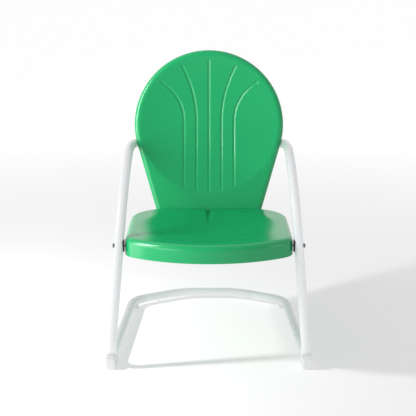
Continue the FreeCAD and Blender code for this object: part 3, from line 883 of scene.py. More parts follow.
@dataclass(frozen=True)
class PlatedSteel:
    """Plated steel hardware."""

    name: str
    bright: Colour
    dull: Colour
    roughness: float
    grain_scale: float = 420.0
    spread: float = 0.15

    def material(self, effects: Effects) -> bpy.types.Material:
        """Builds the plating.

        Args:
            effects: The shared effects.

        Returns:
            The material.
        """
        made, wiring, shader = new_shader(self.name)
        grain = wiring.add("ShaderNodeGroup", {"node_tree": effects.grain}, Scale=self.grain_scale)
        tint = wiring.blend(grain.outputs["Share"], (*self.bright, 1.0), (*self.dull, 1.0))
        swing = wiring.math("MULTIPLY", grain.outputs["Share"], self.spread)
        rough = wiring.math("ADD", swing, self.roughness)
        wiring.feed(shader, Base_Color=tint, Roughness=rough)
        shader.inputs["Metallic"].default_value = 1.0
        return made


class Finishes:
    """The chair's materials by slot."""

    def __init__(self) -> None:
        """Builds every material once."""
        effects = Effects()
        green = SprayedPaint("green_enamel", (0.007, 0.325, 0.108), 0.21, 0.46, 0.04, 420.0, 0.00001)
        white = SprayedPaint("white_enamel", (0.84, 0.855, 0.87), 0.28, 0.30, 0.02, 520.0, 0.00003)
        plastic = MouldedPlastic("white_moulding", (0.85, 0.855, 0.855), 0.42)
        rubber = MouldedPlastic("black_moulding", (0.012, 0.012, 0.013), 0.50)
        dark = PlatedSteel("black_plating", (0.24, 0.24, 0.25), (0.14, 0.14, 0.15), 0.35)
        zinc = PlatedSteel("zinc_plating", (0.62, 0.63, 0.65), (0.45, 0.46, 0.48), 0.30)
        recipes = {Slot.GREEN: green, Slot.WHITE: white, Slot.WHITE_PLASTIC: plastic,
                   Slot.BLACK_PLASTIC: rubber, Slot.DARK_STEEL: dark, Slot.ZINC: zinc}
        self.by_slot = {slot: recipe.material(effects) for slot, recipe in recipes.items()}
        self.pale: list[bpy.types.Object] = []

    def dress(self, piece: bpy.types.Object, slot: Slot, *nodes: str) -> None:
        """Gives a piece its material and puts it in place of its CAD nodes.

        Args:
            piece: The finished object.
            slot: The slot it takes its finish from.
            nodes: The CAD nodes that it stands for.
        """
        piece.data.materials.clear()
        piece.data.materials.append(self.by_slot[slot])
        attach(piece, "root")
        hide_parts(*nodes)
        if slot in (Slot.WHITE, Slot.WHITE_PLASTIC):
            self.pale.append(piece)
        LOG.info("%s: %d faces for %s", piece.name, len(piece.data.polygons), ", ".join(nodes))

    def dress_pair(self, piece: bpy.types.Object, slot: Slot, node: str) -> None:
        """Dresses a right-hand piece and its mirror image on the left.

        Args:
            piece: The finished object, whose name starts with right.
            slot: The slot that both take their finish from.
            node: The CAD nodes' name without its side.
        """
        twin = mirrored(piece, piece.name.replace("right", "left", 1))
        self.dress(twin, slot, f"left_{node}")
        self.dress(piece, slot, f"right_{node}")

    def coat(self, slot: Slot, *nodes: str) -> None:
        """Gives CAD nodes that stay in the picture their material.

        Args:
            slot: The slot of the nodes.
            nodes: The nodes' names.
        """
        for name in nodes:
            mesh = frame["nodes"][name].data
            for index in range(len(mesh.materials)):
                mesh.materials[index] = self.by_slot[slot]
            LOG.info("%s: CAD node kept", name)


class PressedSheet:
    """What the seat and the back share: an outline with a rolled edge, pressed and given its thickness."""

    roll_steps = 9
    weave_rounds = 400
    snug_share = 0.9993
    blank_sides = 8
    sharp_angle = 40.0

    def snug(self, piece: bpy.types.Object, centre: Vector) -> bpy.types.Object:
        """Draws an outline in by a hair, so that its round edges stay within the CAD's chords.

        Args:
            piece: The outline's face.
            centre: The point that keeps its place.

        Returns:
            The same object.
        """
        with editing(piece):
            bpy.ops.mesh.select_all(action="SELECT")
            bpy.ops.transform.resize(value=(self.snug_share, self.snug_share, 1.0), center_override=centre)
        return piece

    def roll_edge(self, piece: bpy.types.Object, wall: float, roll: float) -> None:
        """Raises the outline's face by a wall and rolls its rim over a quarter turn.

        Args:
            piece: The object with one flat face.
            wall: Height of the straight wall.
            roll: Radius of the rolled edge.
        """
        with editing(piece):
            bpy.ops.mesh.select_all(action="SELECT")
            bpy.ops.mesh.extrude_region_move(TRANSFORM_OT_translate={"value": (0, 0, wall)})
            pick(piece, Kind.FACE, lambda face: len(face.verts) > self.blank_sides and face.normal.z > LEVEL
                 and face.calc_center_median().z > -roll - TINY)
            for step in range(self.roll_steps):
                first = QUARTER * step / self.roll_steps
                last = QUARTER * (step + 1) / self.roll_steps
                bpy.ops.mesh.inset(thickness=roll * (math.cos(first) - math.cos(last)),
                                   depth=roll * (math.sin(last) - math.sin(first)))

    def weave(self, piece: bpy.types.Object, corner: Vector, span: int) -> None:
        """Fills the inside of the rolled edge with a grid of quads.

        Args:
            piece: The rolled object.
            corner: Near which point of the rim the grid has its first corner.
            span: How many edges lie between two of the grid's four corners.
        """
        with editing(piece):
            pick(piece, Kind.FACE, lambda face: len(face.verts) > self.blank_sides
                 and face.calc_center_median().z > -TOP_MARGIN)
            bpy.ops.mesh.delete(type="ONLY_FACE")
            pick(piece, Kind.VERT, lambda vert: vert.co.z > -TOP_MARGIN)
            mesh = bmesh.from_edit_mesh(piece.data)
            rim = [vert for vert in mesh.verts if vert.select]
            rim_indices = {vert.index for vert in rim}
            mesh.select_history.clear()
            mesh.select_history.add(min(rim, key=lambda vert: (vert.co - corner).length))
            bmesh.update_edit_mesh(piece.data)
            bpy.ops.mesh.fill_grid(span=span)
            pick(piece, Kind.VERT, lambda vert: vert.co.z > -TOP_MARGIN and vert.index not in rim_indices)
            bpy.ops.mesh.vertices_smooth(factor=0.5, repeat=self.weave_rounds)

    def refine(self, piece: bpy.types.Object, near: Callable[[Vector], bool], cuts: int) -> None:
        """Divides the faces of the inside that a pressed form needs finer.

        Args:
            piece: The woven object.
            near: Says whether a face with this middle is divided.
            cuts: How often its edges are cut.
        """
        with editing(piece):
            pick(piece, Kind.FACE, lambda face: len(face.verts) == 4 and near(face.calc_center_median()))
            bpy.ops.mesh.subdivide(number_cuts=cuts)

    def press(self, piece: bpy.types.Object, die: Callable[[Vector], float]) -> None:
        """Presses each point of the woven sheet as deep as the die says."""
        for vert in piece.data.vertices:
            vert.co.z -= die(vert.co)

    def thicken(self, piece: bpy.types.Object, sheet: float) -> None:
        """Gives the pressed surface its thickness on the hidden side.

        Args:
            piece: The pressed object.
            sheet: The sheet's thickness.
        """
        with editing(piece):
            bpy.ops.mesh.select_all(action="SELECT")
            bpy.ops.mesh.delete_loose()
            bpy.ops.mesh.select_all(action="SELECT")
            bpy.ops.mesh.remove_doubles(threshold=TINY)
            bpy.ops.mesh.normals_make_consistent(inside=False)
            mesh = bmesh.from_edit_mesh(piece.data)
            if sum(face.normal.z * face.calc_area() for face in mesh.faces) < 0:
                bpy.ops.mesh.flip_normals()
        modify(piece, "SOLIDIFY", thickness=sheet, offset=-1.0, use_rim=True)
        face_out(piece)

    @staticmethod
    def dish(radius: float, depth: float, edge: float, away: float) -> float:
        """Depth of a ball dish that rolls over an edge radius on to the flat.

        Args:
            radius: The dish's radius.
            depth: The depth that the bare ball would have.
            edge: Radius of the rolled rim.
            away: Distance from the dish's centre.

        Returns:
            How deep the dish is there.
        """
        slope = 2 * math.atan2(depth, radius)
        reach = radius / math.sin(slope)
        height = reach * math.cos(slope) - edge
        ball = reach - edge
        if away < ball * math.sin(slope):
            return math.sqrt(ball ** 2 - away ** 2) - height
        if away < radius:
            return edge - math.sqrt(edge ** 2 - (radius - away) ** 2)
        return 0.0


@dataclass
class StampedSeat(PressedSheet):
    """The seat pan: rolled edge, deep flange, shallow dish and a drain groove."""

    plan: ChairPlan
    sheet: float = 0.0012
    side_taper: float = 0.1
    bow_radius: float = 0.347
    front_corner: float = 0.0675
    rear_corner: float = 0.123
    roll: float = 0.016
    flange: float = 0.050
    rim_land: float = 0.006
    dish_depth: float = 0.012
    dish_edge: float = 0.140
    drain_length: float = 0.160
    drain_width: float = 0.030
    drain_depth: float = 0.009
    drain_tip_share: float = 0.5
    drain_reach: float = 0.024
    drain_margin: float = 0.02
    bow_edges: int = 28
    front_edges: int = 14
    side_edges: int = 48
    corner_edges: int = 30
    rear_edges: int = 40
    span: int = 70

    @cached_property
    def side_line(self) -> tuple[float, float]:
        """Half-width of the straight side at the leg bolt, and the bolt's depth in the seat's frame."""
        bolt = self.plan.seat_frame.inverted() @ self.plan.leg_at_seat
        return self.plan.leg_at_seat.x - self.plan.tube_radius - self.plan.spacer, bolt.y

    @cached_property
    def corner_centres(self) -> tuple[Vector, Vector]:
        """Centres of the right front and right rear corner arcs."""
        half_width, bolt_depth = self.side_line
        taper = math.radians(self.side_taper)
        lean = math.tan(taper)
        front_base = half_width - self.front_corner / math.cos(taper)
        reach = self.bow_radius - self.front_corner
        offset = front_base + lean * (bolt_depth - self.bow_radius)
        square = 1 + lean ** 2
        linear = -offset * lean
        shift = (-linear - math.sqrt(linear ** 2 - square * (offset ** 2 - reach ** 2))) / square
        front_depth = self.bow_radius + shift
        rear_depth = self.plan.seat_depth - self.rear_corner
        rear_base = half_width - self.rear_corner / math.cos(taper)
        return (Vector((front_base - lean * (front_depth - bolt_depth), front_depth, 0)),
                Vector((rear_base - lean * (rear_depth - bolt_depth), rear_depth, 0)))

    def outline(self) -> bpy.types.Object:
        """Draws the seat's plan outline at the flange's lower edge.

        Returns:
            The outline as one flat face.
        """
        low = Vector((0, 0, -self.flange))
        front, rear = (centre + low for centre in self.corner_centres)
        bow = Vector((0, self.bow_radius, 0)) + low
        taper = math.radians(self.side_taper)
        side = Vector((math.cos(taper), math.sin(taper), 0))
        bow_end = bow + (front - bow).normalized() * self.bow_radius
        stops = [bow_end, front + side * self.front_corner, rear + side * self.rear_corner,
                 rear + Vector((0, self.rear_corner, 0))]
        other = [FLIP @ stop for stop in stops]
        pen = Pen("seat_sheet", low.copy())
        pen.arc(bow, stops[0], self.bow_edges)
        pen.arc(front, stops[1], self.front_edges)
        pen.line(stops[2], self.side_edges)
        pen.arc(rear, stops[3], self.corner_edges)
        pen.line(other[3], self.rear_edges)
        pen.arc(FLIP @ rear, other[2], self.corner_edges)
        pen.line(other[1], self.side_edges)
        pen.arc(FLIP @ front, other[0], self.front_edges)
        pen.arc(bow, low.copy(), self.bow_edges)
        return self.snug(pen.closed(), Vector((0, self.plan.seat_depth / 2, 0)))

    @property
    def dish_radius(self) -> float:
        """Radius of the round dish."""
        middle = self.plan.seat_depth / 2
        half_width, bolt_depth = self.side_line
        room = min(half_width - math.tan(math.radians(self.side_taper)) * (middle - bolt_depth), middle)
        return room - self.roll - self.rim_land

    def die(self, point: Vector) -> float:
        """Depth of the dish and the drain groove.

        Args:
            point: A point of the rolled blank.

        Returns:
            How deep it is pressed.
        """
        if point.z < -self.roll - TINY:
            return 0.0
        away = math.hypot(point.x, point.y - self.plan.seat_depth / 2)
        bowl = self.dish(self.dish_radius, self.dish_depth, self.dish_edge, away)
        share = (point.y - self.plan.seat_depth + self.drain_length) / self.drain_length
        if share <= 0:
            return bowl
        tip = self.drain_tip_share
        half = self.drain_width / 2 * (tip + (1 - tip) * min(share, 1.0))
        if abs(point.x) > half:
            return bowl
        floor = self.dish_depth + (self.drain_depth - self.dish_depth) * min(share, 1.0)
        trough = max(0.0, floor - bowl)
        return bowl + trough * math.cos(QUARTER * point.x / half) ** 2

    def build(self, finishes: Finishes) -> None:
        """Models the seat and dresses it.

        Args:
            finishes: The chair's materials.
        """
        piece = self.outline()
        self.roll_edge(piece, self.flange - self.roll, self.roll)
        front = self.corner_centres[0]
        taper = math.radians(self.side_taper)
        side = Vector((math.cos(taper), math.sin(taper), 0))
        middle = (front - Vector((0, self.bow_radius, 0))).normalized() + side
        self.weave(piece, front + middle.normalized() * (self.front_corner - self.roll), self.span)
        rear = self.plan.seat_depth
        drain_start = rear - self.drain_length - self.drain_margin
        self.refine(piece, lambda middle: abs(middle.x) < self.drain_reach and middle.y > drain_start
                    and middle.z > -TOP_MARGIN, cuts=3)
        self.press(piece, self.die)
        tilt = math.radians(90 - self.plan.back_recline + self.plan.seat_slope)
        with editing(piece):
            bpy.ops.mesh.select_all(action="SELECT")
            bpy.ops.mesh.bisect(plane_co=(0, rear, -self.plan.landing_drop), use_fill=True, clear_inner=True,
                                plane_no=(0, -math.sin(tilt), math.cos(tilt)))
            pick(piece, Kind.FACE, lambda face: face.calc_center_median().z < -self.flange + TINY * 10
                 and abs(face.normal.z) > LEVEL)
            bpy.ops.mesh.delete(type="ONLY_FACE")
        self.thicken(piece, self.sheet)
        smooth(piece, self.sharp_angle)
        place(piece, self.plan.seat_frame)
        finishes.dress(piece, Slot.GREEN, "seat_pan")


@dataclass
class RoundBack(PressedSheet):
    """The round back: rolled edge, ball dish and five pressed grooves."""

    plan: ChairPlan
    sheet: float = 0.0012
    tail: float = 0.038
    spare: float = 0.025
    roll: float = 0.014
    rim_land: float = 0.0015
    dish_depth: float = 0.022
    dish_edge: float = 0.018
    rim_reach: float = 0.008
    groove_half_width: float = 0.0056
    groove_depth: float = 0.0020
    groove_low_share: float = 0.55
    groove_full_drop: float = 0.045
    groove_spacing: float = 0.0388
    groove_turn: float = 0.010
    groove_end_radius: float = 0.197
    groove_low_radius: float = 0.205
    groove_spreads: tuple[float, ...] = (24.7, 48.8)
    groove_steps: int = 80
    groove_margin: float = 0.02
    groove_room: float = 0.0045
    groove_spare: float = 0.01
    side_edges: int = 44
    shoulder_edges: int = 40
    span: int = 84

    def outline(self) -> bpy.types.Object:
        """Draws the back's outline at the depth of its rolled edge, with some spare below its tail.

        Returns:
            The outline as one flat face.
        """
        plan = self.plan
        taper = math.radians(plan.back_side_taper)
        low = Vector((0, 0, -plan.back_edge_depth))
        centre = Vector((0, plan.back_rise, 0)) + low
        touch = centre + Vector((math.cos(taper), -math.sin(taper), 0)) * plan.back_radius
        bottom = -self.tail - self.spare
        foot = Vector((touch.x - (touch.y - bottom) * math.tan(taper), bottom, low.z))
        shoulder = centre + Vector((1, 1, 0)).normalized() * plan.back_radius
        pen = Pen("back_sheet", foot)
        pen.line(touch, self.side_edges)
        pen.arc(centre, shoulder, self.shoulder_edges)
        pen.arc(centre, FLIP @ shoulder, self.span)
        pen.arc(centre, FLIP @ touch, self.shoulder_edges)
        pen.line(FLIP @ foot, self.side_edges)
        pen.line(foot, self.span)
        return self.snug(pen.closed(), centre)

    @property
    def dish_radius(self) -> float:
        """Radius of the round dish."""
        return self.plan.back_radius - self.roll - self.rim_land

    @cached_property
    def groove_lines(self) -> list[list[Vector]]:
        """Centrelines of the grooves on the right and in the middle, as close points in the back's plane."""
        rise = self.plan.back_rise
        lines = []
        for step, spread in enumerate((0.0, *self.groove_spreads)):
            x = step * self.groove_spacing
            low = rise - math.sqrt(self.groove_low_radius ** 2 - x ** 2)
            turn = rise + self.groove_turn
            angle = math.radians(spread)
            end = Vector((self.groove_end_radius * math.sin(angle),
                          rise + self.groove_end_radius * math.cos(angle), 0))
            count = self.groove_steps
            points = [Vector((x, low + (turn - low) * index / count, 0)) for index in range(count + 1)]
            if step == 0:
                points += [Vector((0, turn + (end.y - turn) * index / count, 0))
                           for index in range(1, count + 1)]
            else:
                reach = end - Vector((x, turn, 0))
                radius = reach.length_squared / (2 * reach.x)
                sweep = math.atan2(reach.y, radius - reach.x)
                for index in range(1, count + 1):
                    part = sweep * index / count
                    points.append(Vector((x + radius * (1 - math.cos(part)),
                                          turn + radius * math.sin(part), 0)))
            lines.append(points)
        return lines

    def groove_distance(self, point: Vector) -> float:
        """Distance from the nearest groove's centreline.

        Args:
            point: A point in the back's plane.

        Returns:
            The distance in that plane.
        """
        x = abs(point.x)
        nearest = 1.0
        for line in self.groove_lines:
            if not line[0].y - self.groove_margin <= point.y <= line[-1].y + self.groove_margin:
                continue
            index = min(range(len(line)),
                        key=lambda spot: (line[spot].x - x) ** 2 + (line[spot].y - point.y) ** 2)
            for first, last in ((index - 1, index), (index, index + 1)):
                if first < 0 or last >= len(line):
                    continue
                along = line[last] - line[first]
                offset = Vector((x, point.y, 0)) - line[first]
                share = min(1.0, max(0.0, offset.dot(along) / along.length_squared))
                nearest = min(nearest, (offset - along * share).length)
        return nearest

    def die(self, point: Vector) -> float:
        """Depth of the dish and the grooves.

        Args:
            point: A point of the rolled blank.

        Returns:
            How deep it is pressed.
        """
        if point.z < -self.roll - TINY:
            return 0.0
        away = math.hypot(point.x, point.y - self.plan.back_rise)
        depth = self.dish(self.dish_radius, self.dish_depth, self.dish_edge, away)
        if away > self.groove_low_radius + self.groove_spare:
            return depth
        near = self.groove_distance(point)
        if near < self.groove_half_width:
            drop = self.plan.back_rise - point.y - self.groove_full_drop
            fade = min(1.0, max(0.0, drop / (self.groove_low_radius - self.groove_full_drop)))
            share = 1.0 - (1.0 - self.groove_low_share) * fade
            depth += self.groove_depth * share * math.cos(QUARTER * near / self.groove_half_width) ** 2
        return depth

    def build(self, finishes: Finishes) -> None:
        """Models the back and dresses it.

        Args:
            finishes: The chair's materials.
        """
        piece = self.outline()
        self.roll_edge(piece, self.plan.back_edge_depth - self.roll, self.roll)
        centre = Vector((0, self.plan.back_rise, 0))
        self.weave(piece, centre + Vector((1, 1, 0)).normalized() * self.plan.back_radius, self.span)
        reach = self.groove_half_width + self.groove_room
        self.refine(piece, lambda middle: middle.z > -TOP_MARGIN
                    and self.groove_distance(middle) < reach, cuts=3)
        self.refine(piece, lambda middle: middle.z > -TOP_MARGIN and middle.y < centre.y
                    and abs((middle - centre).length - self.dish_radius) < self.rim_reach, cuts=2)
        with editing(piece):
            bpy.ops.mesh.select_all(action="SELECT")
            bpy.ops.mesh.bisect(plane_co=(0, -self.tail, 0), plane_no=(0, 1, 0), clear_inner=True)
            pick(piece, Kind.FACE, lambda face: abs(face.normal.z) > LEVEL
                 and face.calc_center_median().z < -self.roll - TINY)
            bpy.ops.mesh.delete(type="ONLY_FACE")
        self.press(piece, self.die)
        self.thicken(piece, self.sheet)
        smooth(piece, self.sharp_angle)
        place(piece, self.plan.back_frame)
        finishes.dress(piece, Slot.GREEN, "back_shell")


@dataclass
class SpringFrame:
    """The bent tube frame: two side frames, the rear stretcher and the plugs in the arm ends."""

    plan: ChairPlan
    lip: float = 0.0006
    swage_length: float = 0.045
    swage_gap: float = 0.00015
    plug_face: float = 0.0025
    plug_stem: float = 0.014
    plug_round: float = 0.0010
    plug_gap: float = 0.0001

    def build(self, finishes: Finishes) -> None:
        """Models the frame and dresses it.

        Args:
            finishes: The chair's materials.
        """
        finishes.dress_pair(self.side_tube(), Slot.WHITE, "side_frame")
        finishes.dress(self.stretcher(), Slot.WHITE, "rear_stretcher")
        finishes.dress_pair(self.plug(), Slot.WHITE_PLASTIC, "arm_plug")

    def side_tube(self) -> bpy.types.Object:
        """The right side frame.

        Returns:
            The bent tube.
        """
        corners = self.plan.side_corners
        run = TubeRun("right_tube", corners[0], corners[1] - corners[0], self.plan.tube_radius, self.lip)
        run.follow(corners, self.plan.side_bends)
        run.end_at(corners[-1])
        return run.hollow(self.plan.tube_wall)

    def stretcher(self) -> bpy.types.Object:
        """The bent stretcher with its shoulders and swaged ends.

        Returns:
            The tube.
        """
        plan = self.plan
        radius = plan.tube_radius
        swage = radius - plan.tube_wall - self.swage_gap
        end = plan.stretcher_end(0)
        seam = plan.stretcher_end(plan.shoulder)
        tip = plan.stretcher_end(plan.shoulder + self.swage_length)
        corner = plan.stretcher_corner
        run = TubeRun("stretcher_tube", tip, seam - tip, swage, self.lip)
        run.step(seam)
        run.collar((radius - self.lip) / swage)
        inward = (end - seam).normalized()
        run.step(seam + inward * self.lip, radius / (radius - self.lip))
        run.follow([end, corner, FLIP @ corner, FLIP @ end], [plan.stretcher_bend, plan.stretcher_bend])
        outward = ((FLIP @ seam) - (FLIP @ end)).normalized()
        run.step((FLIP @ seam) - outward * self.lip)
        run.step(FLIP @ seam, (radius - self.lip) / radius)
        run.collar(swage / (radius - self.lip))
        run.end_at(FLIP @ tip)
        return run.hollow(plan.tube_wall)

    def plug(self) -> bpy.types.Object:
        """The plug in the right arm's end.

        Returns:
            The round plug.
        """
        radius = self.plan.tube_radius
        stem = radius - self.plan.tube_wall - self.plug_gap
        pen = Pen("right_plug", Vector((0, self.plug_face, 0)))
        pen.line(Vector((radius - self.plug_round, self.plug_face, 0)))
        pen.arc(Vector((radius - self.plug_round, self.plug_face - self.plug_round, 0)),
                Vector((radius, self.plug_face - self.plug_round, 0)), EDGE_STEPS)
        pen.line(Vector((radius, 0, 0)))
        pen.line(Vector((stem, 0, 0)))
        pen.line(Vector((stem, -self.plug_stem, 0)))
        pen.line(Vector((0, -self.plug_stem, 0)))
        piece = pen.turned(ROUND_SIDES)
        smooth(piece)
        inward = Vector((-1, 0, 0))
        place(piece, frame_matrix(self.plan.arm_end, inward.orthogonal(), inward))
        return piece


@dataclass
class Feet:
    """The front shoes and the rear glides."""

    plan: ChairPlan
    reach: float = 0.012
    tail: float = 0.012
    width: float = 0.025
    front_height: float = 0.032
    top_slope: float = 17.0
    corner: float = 0.003
    edge: float = 0.0010
    glide_radius: float = 0.010
    gap: float = 0.0001

    def build(self, finishes: Finishes) -> None:
        """Models the feet and dresses them.

        Args:
            finishes: The chair's materials.
        """
        bar = self.bar()
        shoe, glide = self.shoe(bar), self.glide(bar)
        finishes.dress_pair(shoe, Slot.WHITE_PLASTIC, "front_shoe")
        finishes.dress_pair(glide, Slot.WHITE_PLASTIC, "rear_glide")
        bpy.data.objects.remove(bar)

    def bar(self) -> bpy.types.Object:
        """The room that the side frame's tube takes up near the floor.

        Returns:
            A solid bar, which is only a cutter.
        """
        corners = self.plan.side_corners
        radius = self.plan.tube_radius + self.gap
        run = TubeRun("tube_room", corners[0], corners[1] - corners[0], radius, self.gap, CUTTER_SIDES)
        run.follow(corners[:4], self.plan.side_bends[:2])
        run.end_at((corners[2] + corners[3]) / 2)
        return run.solid()

    def fitted(self, block: bpy.types.Object, bar: bpy.types.Object) -> None:
        """Cuts a block by the tube and keeps what stands on the floor.

        Args:
            block: The block to cut.
            bar: The tube's room.
        """
        modify(block, "BOOLEAN", operation="DIFFERENCE", object=bar, solver="EXACT")
        with editing(block):
            pick(block, Kind.VERT, lambda vert: vert.co.z < self.edge * 2)
            bpy.ops.mesh.select_linked()
            bpy.ops.mesh.select_all(action="INVERT")
            bpy.ops.mesh.delete(type="VERT")
        face_out(block)
        smooth(block, MOULDED_ANGLE)

    def shoe(self, bar: bpy.types.Object) -> bpy.types.Object:
        """The right front shoe, which squares off the foot bend.

        Args:
            bar: The tube's room.

        Returns:
            The shoe.
        """
        plan = self.plan
        along = (plan.runner_rear_corner - plan.foot_corner).normalized()
        start = (plan.shoe_point - plan.foot_corner).length
        top = self.front_height + (self.reach + plan.tube_radius) * math.tan(math.radians(self.top_slope))
        half = -self.width / 2
        pen = Pen("right_front_shoe_moulding", Vector((-self.reach, 0, half)))
        pen.line(Vector((start + self.tail, 0, half)))
        pen.line(Vector((start + self.tail, plan.runner_height, half)))
        pen.line(Vector((start, plan.runner_height, half)))
        pen.line(Vector((plan.tube_radius, top, half)))
        pen.line(Vector((-self.reach, self.front_height, half)))
        pen.line(Vector((-self.reach, 0, half)))
        block = pen.closed()
        with editing(block):
            bpy.ops.mesh.select_all(action="SELECT")
            bpy.ops.mesh.extrude_region_move(TRANSFORM_OT_translate={"value": (0, 0, self.width)})
            pick(block, Kind.EDGE, lambda edge: all(vert.co.x < -self.reach + TINY for vert in edge.verts)
                 and abs(edge.verts[0].co.z - edge.verts[1].co.z) < TINY)
            bpy.ops.mesh.bevel(offset=self.corner, segments=5, affect="EDGES")
        face_out(block)
        round_edges(block, self.edge, degrees=30)
        place(block, frame_matrix(Vector((plan.foot_corner.x, plan.foot_corner.y, 0)), along, UP))
        self.fitted(block, bar)
        return block

    def glide(self, bar: bpy.types.Object) -> bpy.types.Object:
        """The right rear glide, a button under the runner.

        Args:
            bar: The tube's room.

        Returns:
            The glide.
        """
        point = self.plan.glide_point
        pen = Pen("right_rear_glide_moulding", Vector((0, 0, 0)))
        pen.line(Vector((self.glide_radius - self.edge, 0, 0)))
        pen.arc(Vector((self.glide_radius - self.edge, self.edge, 0)),
                Vector((self.glide_radius, self.edge, 0)), EDGE_STEPS)
        pen.line(Vector((self.glide_radius, self.plan.runner_height, 0)))
        pen.line(Vector((0, self.plan.runner_height, 0)))
        block = pen.turned(ROUND_SIDES)
        place(block, frame_matrix(Vector((point.x, point.y, 0)), ACROSS, UP))
        self.fitted(block, bar)
        return block


@dataclass
class Saddles:
    """The black pads between the seat and the legs, hollowed out to lie round the tube."""

    plan: ChairPlan
    width: float = 0.016
    height: float = 0.036
    inner_half_width: float = 0.2340
    edge: float = 0.0008
    gap: float = 0.0001
    end_steps: int = 10

    def build(self, finishes: Finishes) -> None:
        """Models the pads and dresses them in the chair's materials."""
        finishes.dress_pair(self.pad(), Slot.BLACK_PLASTIC, "seat_spacer")

    def pad(self) -> bpy.types.Object:
        """The right pad.

        Returns:
            An upright oblong block, cut by the leg.
        """
        leg = self.plan.leg_at_seat
        half = self.width / 2
        rise = self.height / 2 - half
        pen = Pen("right_saddle", Vector((half, -rise, 0)))
        pen.line(Vector((half, rise, 0)))
        pen.arc(Vector((0, rise, 0)), Vector((0, rise + half, 0)), self.end_steps)
        pen.arc(Vector((0, rise, 0)), Vector((-half, rise, 0)), self.end_steps)
        pen.line(Vector((-half, -rise, 0)))
        pen.arc(Vector((0, -rise, 0)), Vector((0, -rise - half, 0)), self.end_steps)
        pen.arc(Vector((0, -rise, 0)), Vector((half, -rise, 0)), self.end_steps)
        block = pen.closed()
        with editing(block):
            bpy.ops.mesh.select_all(action="SELECT")
            depth = leg.x - self.inner_half_width
            bpy.ops.mesh.extrude_region_move(TRANSFORM_OT_translate={"value": (0, 0, depth)})
        face_out(block)
        round_edges(block, self.edge, degrees=60)
        place(block, frame_matrix(Vector((self.inner_half_width, leg.y, leg.z)), Vector((0, 1, 0)), UP))
        along = (self.plan.arm_front_corner - self.plan.foot_corner).normalized() * self.height
        radius = self.plan.tube_radius + self.gap
        run = TubeRun("leg_room", leg - along, along, radius, self.gap, CUTTER_SIDES)
        run.end_at(leg + along)
        bar = run.solid()
        modify(block, "BOOLEAN", operation="DIFFERENCE", object=bar, solver="EXACT")
        bpy.data.objects.remove(bar)
        face_out(block)
        smooth(block, MOULDED_ANGLE)
        return block


class Fixings:
    """The brackets and the hardware, which keep their CAD form."""

    kept: dict[Slot, tuple[str, ...]] = {
        Slot.GREEN: ("left_back_bracket", "right_back_bracket", "left_seat_bracket", "right_seat_bracket"),
        Slot.DARK_STEEL: ("seat_leg_bolts", "seat_leg_washers", "seat_leg_nuts"),
        Slot.ZINC: ("seat_back_bolts", "seat_back_washers", "seat_back_nuts", "arm_back_bolts",
                    "arm_back_washers", "arm_back_nuts"),
        Slot.WHITE: ("stretcher_screws",),
    }

    def build(self, finishes: Finishes) -> None:
        """Dresses the kept CAD nodes in the chair's materials."""
        for slot, nodes in self.kept.items():
            finishes.coat(slot, *nodes)


@dataclass(frozen=True)
class Lamp:
    """A soft lamp: its name, place, width and height, and power in watts."""

    name: str
    place: Colour
    size: tuple[float, float]
    power: float

    def hang(self, aim: Colour, lit: bpy.types.Collection) -> None:
        """Hangs the lamp.

        Args:
            aim: The point that it is aimed at.
            lit: What it shines on.
        """
        light = bpy.data.lights.new(self.name, "AREA")
        light.shape = "RECTANGLE"
        light.size, light.size_y = self.size
        light.energy = self.power
        holder = bpy.data.objects.new(self.name, light)
        bpy.context.collection.objects.link(holder)
        holder.location = self.place
        holder.light_linking.receiver_collection = lit
        way = Vector(aim) - Vector(self.place)
        holder.rotation_euler = way.to_track_quat("-Z", "Y").to_euler()


